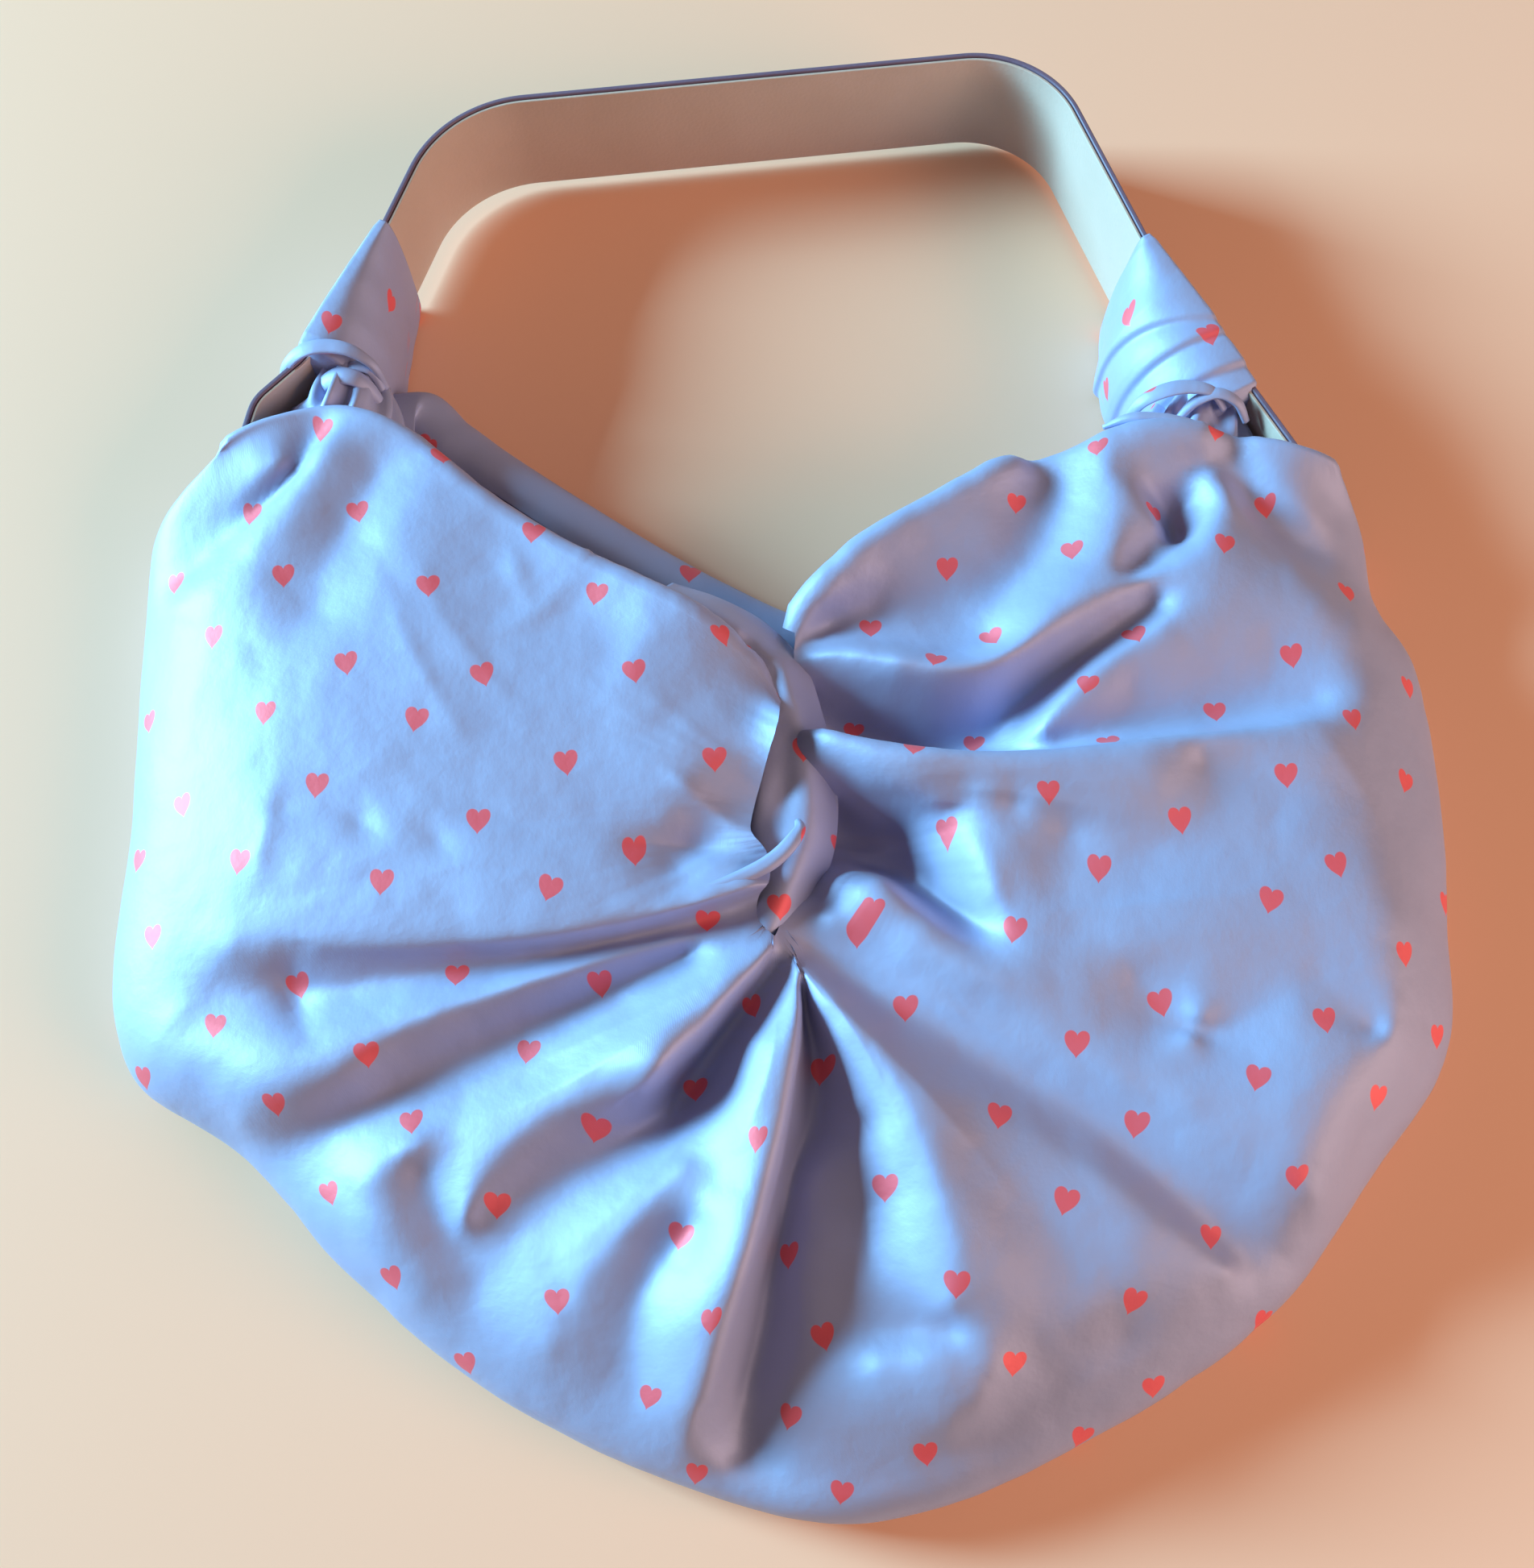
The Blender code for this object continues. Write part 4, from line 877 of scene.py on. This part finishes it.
def knot_piece(side, finish):
    """One knot: cloth wrapped round a leg of the band, each wrap's edge lying over the next."""
    knot = KNOTS[side]
    top, foot = np.array(knot["top"]), np.array(knot["foot"])
    axis = unit(foot - top)
    inward = left_of(axis) * knot["inward"]
    stations = np.linspace(0, knot["sections"][-1][0], KNOT_STEPS)
    turn = np.linspace(0, 2 * math.pi, KNOT_RING_POINTS, endpoint=False)
    rings = []
    for s in stations:
        offset, z = knot_ring(knot, s, turn)
        rings.append(np.column_stack([top + axis * s + inward * offset[:, None], z]))
    form = np.array(rings)
    girth = np.linalg.norm(np.diff(form, axis=1, append=form[:, :1]), axis=-1)
    walked = np.cumsum(girth, axis=1) - girth
    flat = np.stack(np.broadcast_arrays(walked - walked.mean(), -stations[:, None]), axis=-1)
    return tube_piece("knot_" + side, form, flat, finish)


def joined(pieces):
    """The pieces as one object, under the first one's name."""
    with bpy.context.temp_override(active_object=pieces[0], object=pieces[0],
                                   selected_objects=pieces, selected_editable_objects=pieces):
        bpy.ops.object.join()
    return pieces[0]


class Nodes:
    """Adds and links shader or geometry nodes by short calls."""

    def __init__(self, tree):
        self.tree = tree
        self.made = 0

    def give(self, source, socket):
        """Links the source to the socket, or sets it there where it is a plain value."""
        if isinstance(source, bpy.types.NodeSocket):
            self.tree.links.new(source, socket)
        elif source is not None:
            socket.default_value = source

    def add(self, kind, *sources, **settings):
        node = self.tree.nodes.new(kind)
        node.location = (200 * (self.made % 12), -240 * (self.made // 12))
        self.made += 1
        for name, value in settings.items():
            setattr(node, name, value)
        for i, source in enumerate(sources):
            self.give(source, node.inputs[i])
        return node

    def math(self, operation, *sources):
        return self.add("ShaderNodeMath", *sources, operation=operation).outputs[0]

    def vector(self, operation, *sources):
        return self.add("ShaderNodeVectorMath", *sources, operation=operation).outputs["Vector"]

    def scaled(self, vector, scale):
        return self.vector("SCALE", vector, None, None, scale)

    def turned(self, vector, angle):
        """The vector turned about Z by an angle in radians."""
        node = self.add("ShaderNodeVectorRotate", vector, None, None, angle, rotation_type="Z_AXIS")
        return node.outputs[0]

    def noise(self, place, scale, detail=2.0):
        return self.add("ShaderNodeTexNoise", place, None, scale, detail).outputs[0]

    def mix(self, share, first, second):
        node = self.add("ShaderNodeMix", data_type="RGBA")
        for index, source in ((0, share), (6, first), (7, second)):
            self.give(source, node.inputs[index])
        return node.outputs[2]

    def tones(self, share, pair):
        """A colour between the two of a pair."""
        return self.mix(share, *((*tone, 1.0) for tone in pair))

    def bump(self, strength, distance, height, normal=None):
        node = self.add("ShaderNodeBump", strength, distance)
        self.give(height, node.inputs["Height"])
        self.give(normal, node.inputs["Normal"])
        return node.outputs[0]


def principled(name, **constants):
    """A new material, its node helper and its shader with the constants set on their sockets."""
    made = bpy.data.materials.new(name)
    made.use_nodes = True
    shader = made.node_tree.nodes["Principled BSDF"]
    for socket, value in constants.items():
        shader.inputs[socket.replace("_", " ")].default_value = value
    return made, Nodes(made.node_tree), shader


def heart_mask(n, print_map):
    """1 inside the printed hearts and 0 elsewhere: one in each cell, a little out of place."""
    lattice_turn = math.radians(HEART_LATTICE_TURN)
    lattice = n.scaled(n.turned(print_map, -lattice_turn), 1 / (HEART_SPACING * MM))
    cell = n.vector("FLOOR", lattice)
    chance = n.add("ShaderNodeTexWhiteNoise", cell, noise_dimensions="2D")
    margin = 0.5 * (1 - HEART_STRAY)
    stray = (HEART_STRAY, HEART_STRAY, 0.0)
    shift = n.vector("MULTIPLY_ADD", chance.outputs["Color"], stray, (margin, margin, 0.0))
    in_cell = n.vector("SUBTRACT", n.vector("SUBTRACT", lattice, cell), shift)
    tilt = n.math("MULTIPLY_ADD", chance.outputs["Value"], 2 * HEART_TILT, -HEART_TILT)
    upright = n.turned(n.turned(in_cell, lattice_turn), tilt)
    parts = n.add("ShaderNodeSeparateXYZ", n.scaled(upright, HEART_SPACING / HEART_HALF_WIDTH))
    x, y = parts.outputs[0], parts.outputs[1]
    cleft = n.math("MULTIPLY", n.math("SQRT", n.math("ABSOLUTE", x)), HEART_CLEFT)
    raised = n.math("SUBTRACT", n.math("MULTIPLY", n.math("ADD", y, HEART_DROP), HEART_SQUAT), cleft)
    inside = n.math("ADD", n.math("MULTIPLY", x, x), n.math("MULTIPLY", raised, raised))
    edge = n.add("ShaderNodeMapRange", inside, *HEART_EDGE, 1.0, 0.0, interpolation_type="SMOOTHSTEP")
    return edge.outputs[0]


def printed_sateen():
    """Smooth cotton sateen, its ground and its hearts slightly cloudy, with fine threads."""
    made, n, shader = principled("printed sateen", Roughness=0.56, Metallic=0.22, Sheen_Weight=0.05,
                                 Sheen_Roughness=0.4, Specular_IOR_Level=0.5)
    uv = n.add("ShaderNodeUVMap", uv_map="print").outputs[0]
    cloudy = n.noise(uv, CLOTH_CLOUDS, 3.0)
    colour = n.mix(heart_mask(n, uv), n.tones(cloudy, GROUND_TONES), n.tones(cloudy, HEART_TONES))
    n.give(colour, shader.inputs["Base Color"])
    across = n.turned(uv, math.radians(THREAD_TURN))
    threads = n.add("ShaderNodeTexWave", across, THREADS, 1.2, bands_direction="X").outputs[0]
    fibres = n.math("MULTIPLY", n.noise(uv, FIBRES), FIBRE_SHARE)
    weave = n.math("ADD", n.math("MULTIPLY", threads, THREAD_SHARE), fibres)
    creased = n.bump(0.3, CREASE_RELIEF, n.noise(uv, SMALL_CREASES, 4.0))
    n.give(n.bump(0.16, THREAD_RELIEF, weave, creased), shader.inputs["Normal"])
    return made


def leather(name, tones, roughness):
    """Smooth leather with a fine pebbled grain and slightly worn tone."""
    made, n, shader = principled(name, Roughness=roughness, Specular_IOR_Level=0.45, Sheen_Weight=0.06)
    place = n.add("ShaderNodeTexCoord").outputs["Object"]
    n.give(n.tones(n.noise(place, WORN_CLOUDS, 5.0), tones), shader.inputs["Base Color"])
    pebbles = n.add("ShaderNodeTexVoronoi", place, None, PEBBLES, feature="SMOOTH_F1")
    height = n.math("MULTIPLY_ADD", n.noise(place, PORES), 0.4, pebbles.outputs["Distance"])
    n.give(n.bump(0.35, PEBBLE_RELIEF, height), shader.inputs["Normal"])
    return made


def rounded_run(corners, step):
    """The points of a run in plan, its corners rounded by arcs, with points a step apart."""
    points = [np.array(corners[0][:2])]
    for before, corner, after in zip(corners, corners[1:], corners[2:]):
        at = np.array(corner[:2])
        back = unit(np.array(before[:2]) - at)
        ahead = unit(np.array(after[:2]) - at)
        half = 0.5 * math.acos(float(np.clip(back @ ahead, -1, 1)))
        middle = at + unit(back + ahead) * corner[2] / math.sin(half)
        start = at + back * corner[2] / math.tan(half)
        end = at + ahead * corner[2] / math.tan(half)
        first = math.atan2(*(start - middle)[::-1])
        sweep = math.atan2(*(end - middle)[::-1]) - first
        sweep = (sweep + math.pi) % (2 * math.pi) - math.pi
        steps = max(2, round(corner[2] * abs(sweep) / step))
        for i in range(steps + 1):
            turn = first + sweep * i / steps
            points.append(middle + corner[2] * np.array((math.cos(turn), math.sin(turn))))
    points.append(np.array(corners[-1][:2]))
    return np.array(points)


def strip_tree():
    """Geometry nodes that sweep a leather strip, its edges rounded, along a run of points."""
    tree = bpy.data.node_groups.new("leather strip", "GeometryNodeTree")
    face = tree.interface
    face.new_socket("Run", in_out="INPUT", socket_type="NodeSocketGeometry")
    for name in ("Width", "Thickness", "Offset", "Edge radius", "Step"):
        face.new_socket(name, in_out="INPUT", socket_type="NodeSocketFloat")
    face.new_socket("Leather", in_out="INPUT", socket_type="NodeSocketMaterial")
    face.new_socket("Strip", in_out="OUTPUT", socket_type="NodeSocketGeometry")
    n = Nodes(tree)
    given = n.add("NodeGroupInput").outputs
    run = n.add("GeometryNodeMeshToCurve", given["Run"]).outputs[0]
    upright = n.add("GeometryNodeSetCurveNormal", run)
    upright.mode = "Z_UP"
    even = n.add("GeometryNodeResampleCurve", upright.outputs[0], mode="LENGTH")
    n.give(given["Step"], even.inputs["Length"])
    outline = n.add("GeometryNodeCurvePrimitiveQuadrilateral")
    n.give(given["Thickness"], outline.inputs["Width"])
    n.give(given["Width"], outline.inputs["Height"])
    rounded = n.add("GeometryNodeFilletCurve", outline.outputs[0], mode="POLY")
    n.give(EDGE_FACETS, rounded.inputs["Count"])
    n.give(given["Edge radius"], rounded.inputs["Radius"])
    shift = n.add("ShaderNodeCombineXYZ", given["Offset"])
    beside = n.add("GeometryNodeTransform", rounded.outputs[0])
    n.give(shift.outputs[0], beside.inputs["Translation"])
    swept = n.add("GeometryNodeCurveToMesh", even.outputs[0])
    n.give(beside.outputs[0], swept.inputs["Profile Curve"])
    n.give(True, swept.inputs["Fill Caps"])
    plain = n.add("GeometryNodeRealizeInstances", swept.outputs[0])
    covered = n.add("GeometryNodeSetMaterial", plain.outputs[0])
    n.give(given["Leather"], covered.inputs["Material"])
    n.add("NodeGroupOutput", covered.outputs[0])
    return tree


def swept_strip(name, tree, finish, sizes):
    """A plain mesh of one leather layer of the handle, with the sizes that the tree asks for."""
    middle = BAND_LOW + 0.5 * BAND_WIDTH
    points = [(x * MM, y * MM, middle * MM) for x, y in rounded_run(BAND_CORNERS, BAND_STEP)]
    mesh = bpy.data.meshes.new(name)
    mesh.from_pydata(points, [(i, i + 1) for i in range(len(points) - 1)], [])
    obj = placed(name, mesh)
    nodes = obj.modifiers.new("strip", "NODES")
    nodes.node_group = tree
    given = {item.name: item.identifier for item in tree.interface.items_tree if item.in_out == "INPUT"}
    nodes[given["Step"]] = BAND_STEP * MM
    nodes[given["Leather"]] = finish
    for socket, value in sizes.items():
        nodes[given[socket]] = value * MM
    made = bpy.data.meshes.new_from_object(obj.evaluated_get(bpy.context.evaluated_depsgraph_get()))
    obj.modifiers.remove(nodes)
    obj.data = made
    shell = bmesh.new()
    shell.from_mesh(made)
    bmesh.ops.recalc_face_normals(shell, faces=shell.faces)
    for face in shell.faces:
        face.smooth = len(face.verts) == 4
    shell.to_mesh(made)
    shell.free()
    return obj


def band():
    """The handle's two leather layers, in place of the solids that they follow."""
    tree = strip_tree()
    for node, layer in BAND_LAYERS.items():
        finish = leather(layer["leather"], layer["tones"], layer["roughness"])
        piece = swept_strip(node + "_leather", tree, finish, layer["sizes"])
        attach(piece, "root")
        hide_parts(node)


def cloth():
    """The one cloth: the bag's sheet, and what is wound and knotted of it."""
    sateen = printed_sateen()
    form = with_rolled_lips(smoothed(with_crumples(sheet_form()), 1))
    form[..., 2] = np.maximum(form[..., 2], LOWEST)
    sheet = grid_piece("cloth_bag", form, flattened(form), sateen)
    rings = twist_form()
    wound = [tube_piece("twist", rings, rings[..., :2] + TWIST_PRINT_AT, sateen)]
    for name, path in ROLLS.items():
        wound.append(strand(name, path, sateen, STRIP_PLEATS, print_at=ROLL_PRINT_AT))
    twist = joined(wound)
    knots = []
    for side in KNOTS:
        parts = [knot_piece(side, sateen)]
        for name, path in NECKS.items():
            if name.startswith(side):
                parts.append(strand(name, path, sateen, NECK_PLEATS, NECK_PHASE, NECK_AROUND))
        for i, (name, path) in enumerate(KNOT_STRIPS.items()):
            if name.startswith(side):
                print_at = np.array(STRIP_PRINT_STEP) * i
                parts.append(strand(name, path, sateen, STRIP_PLEATS, i, print_at=print_at))
        knots.append(joined(parts))
    for piece in (sheet, twist, *knots):
        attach(piece, "root")
    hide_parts("cloth")


def floor():
    """A plain pale floor, under the bag and out past the light."""
    r = FLOOR_REACH
    made, n, shader = principled("pale floor", Roughness=0.7)
    n.give((*FLOOR_COLOUR, 1.0), shader.inputs["Base Color"])
    mesh = bpy.data.meshes.new("floor")
    mesh.from_pydata([(-r, -r, 0), (r, -r, 0), (r, r, 0), (-r, r, 0)], [], [(0, 1, 2, 3)])
    mesh.materials.append(made)
    placed("floor", mesh)


def soft_light(name, place, size, power, colour):
    """A square light that looks at the frame's origin."""
    lamp = bpy.data.lights.new(name, "AREA")
    lamp.shape = "SQUARE"
    lamp.size = size
    lamp.energy = power
    lamp.color = colour
    obj = placed(name, lamp)
    obj.location = place
    obj.rotation_euler = (-Vector(place)).to_track_quat("-Z", "Y").to_euler()


def studio():
    """A cool window-like key from the left, a warm fill from the lower right and a soft sky."""
    for name, light in LIGHTS.items():
        soft_light(name, **light)
    world = bpy.data.worlds.new("soft sky")
    world.use_nodes = True
    backdrop = world.node_tree.nodes["Background"]
    backdrop.inputs["Color"].default_value = (*SKY_COLOUR, 1.0)
    backdrop.inputs["Strength"].default_value = SKY_STRENGTH
    bpy.context.scene.world = world
    bpy.context.scene.view_settings.view_transform = "Standard"


def camera():
    """The photograph's camera, over the bag's foot and tilted towards the handle."""
    lens = bpy.data.cameras.new("camera")
    lens.lens = CAMERA_LENS
    lens.clip_start = CAMERA_NEAREST
    obj = placed("camera", lens)
    obj.location = Vector(CAMERA_AT) * MM
    obj.rotation_euler = (math.radians(CAMERA_TILT), 0.0, 0.0)
    bpy.context.scene.camera = obj


camera()
cloth()
band()
floor()
studio()
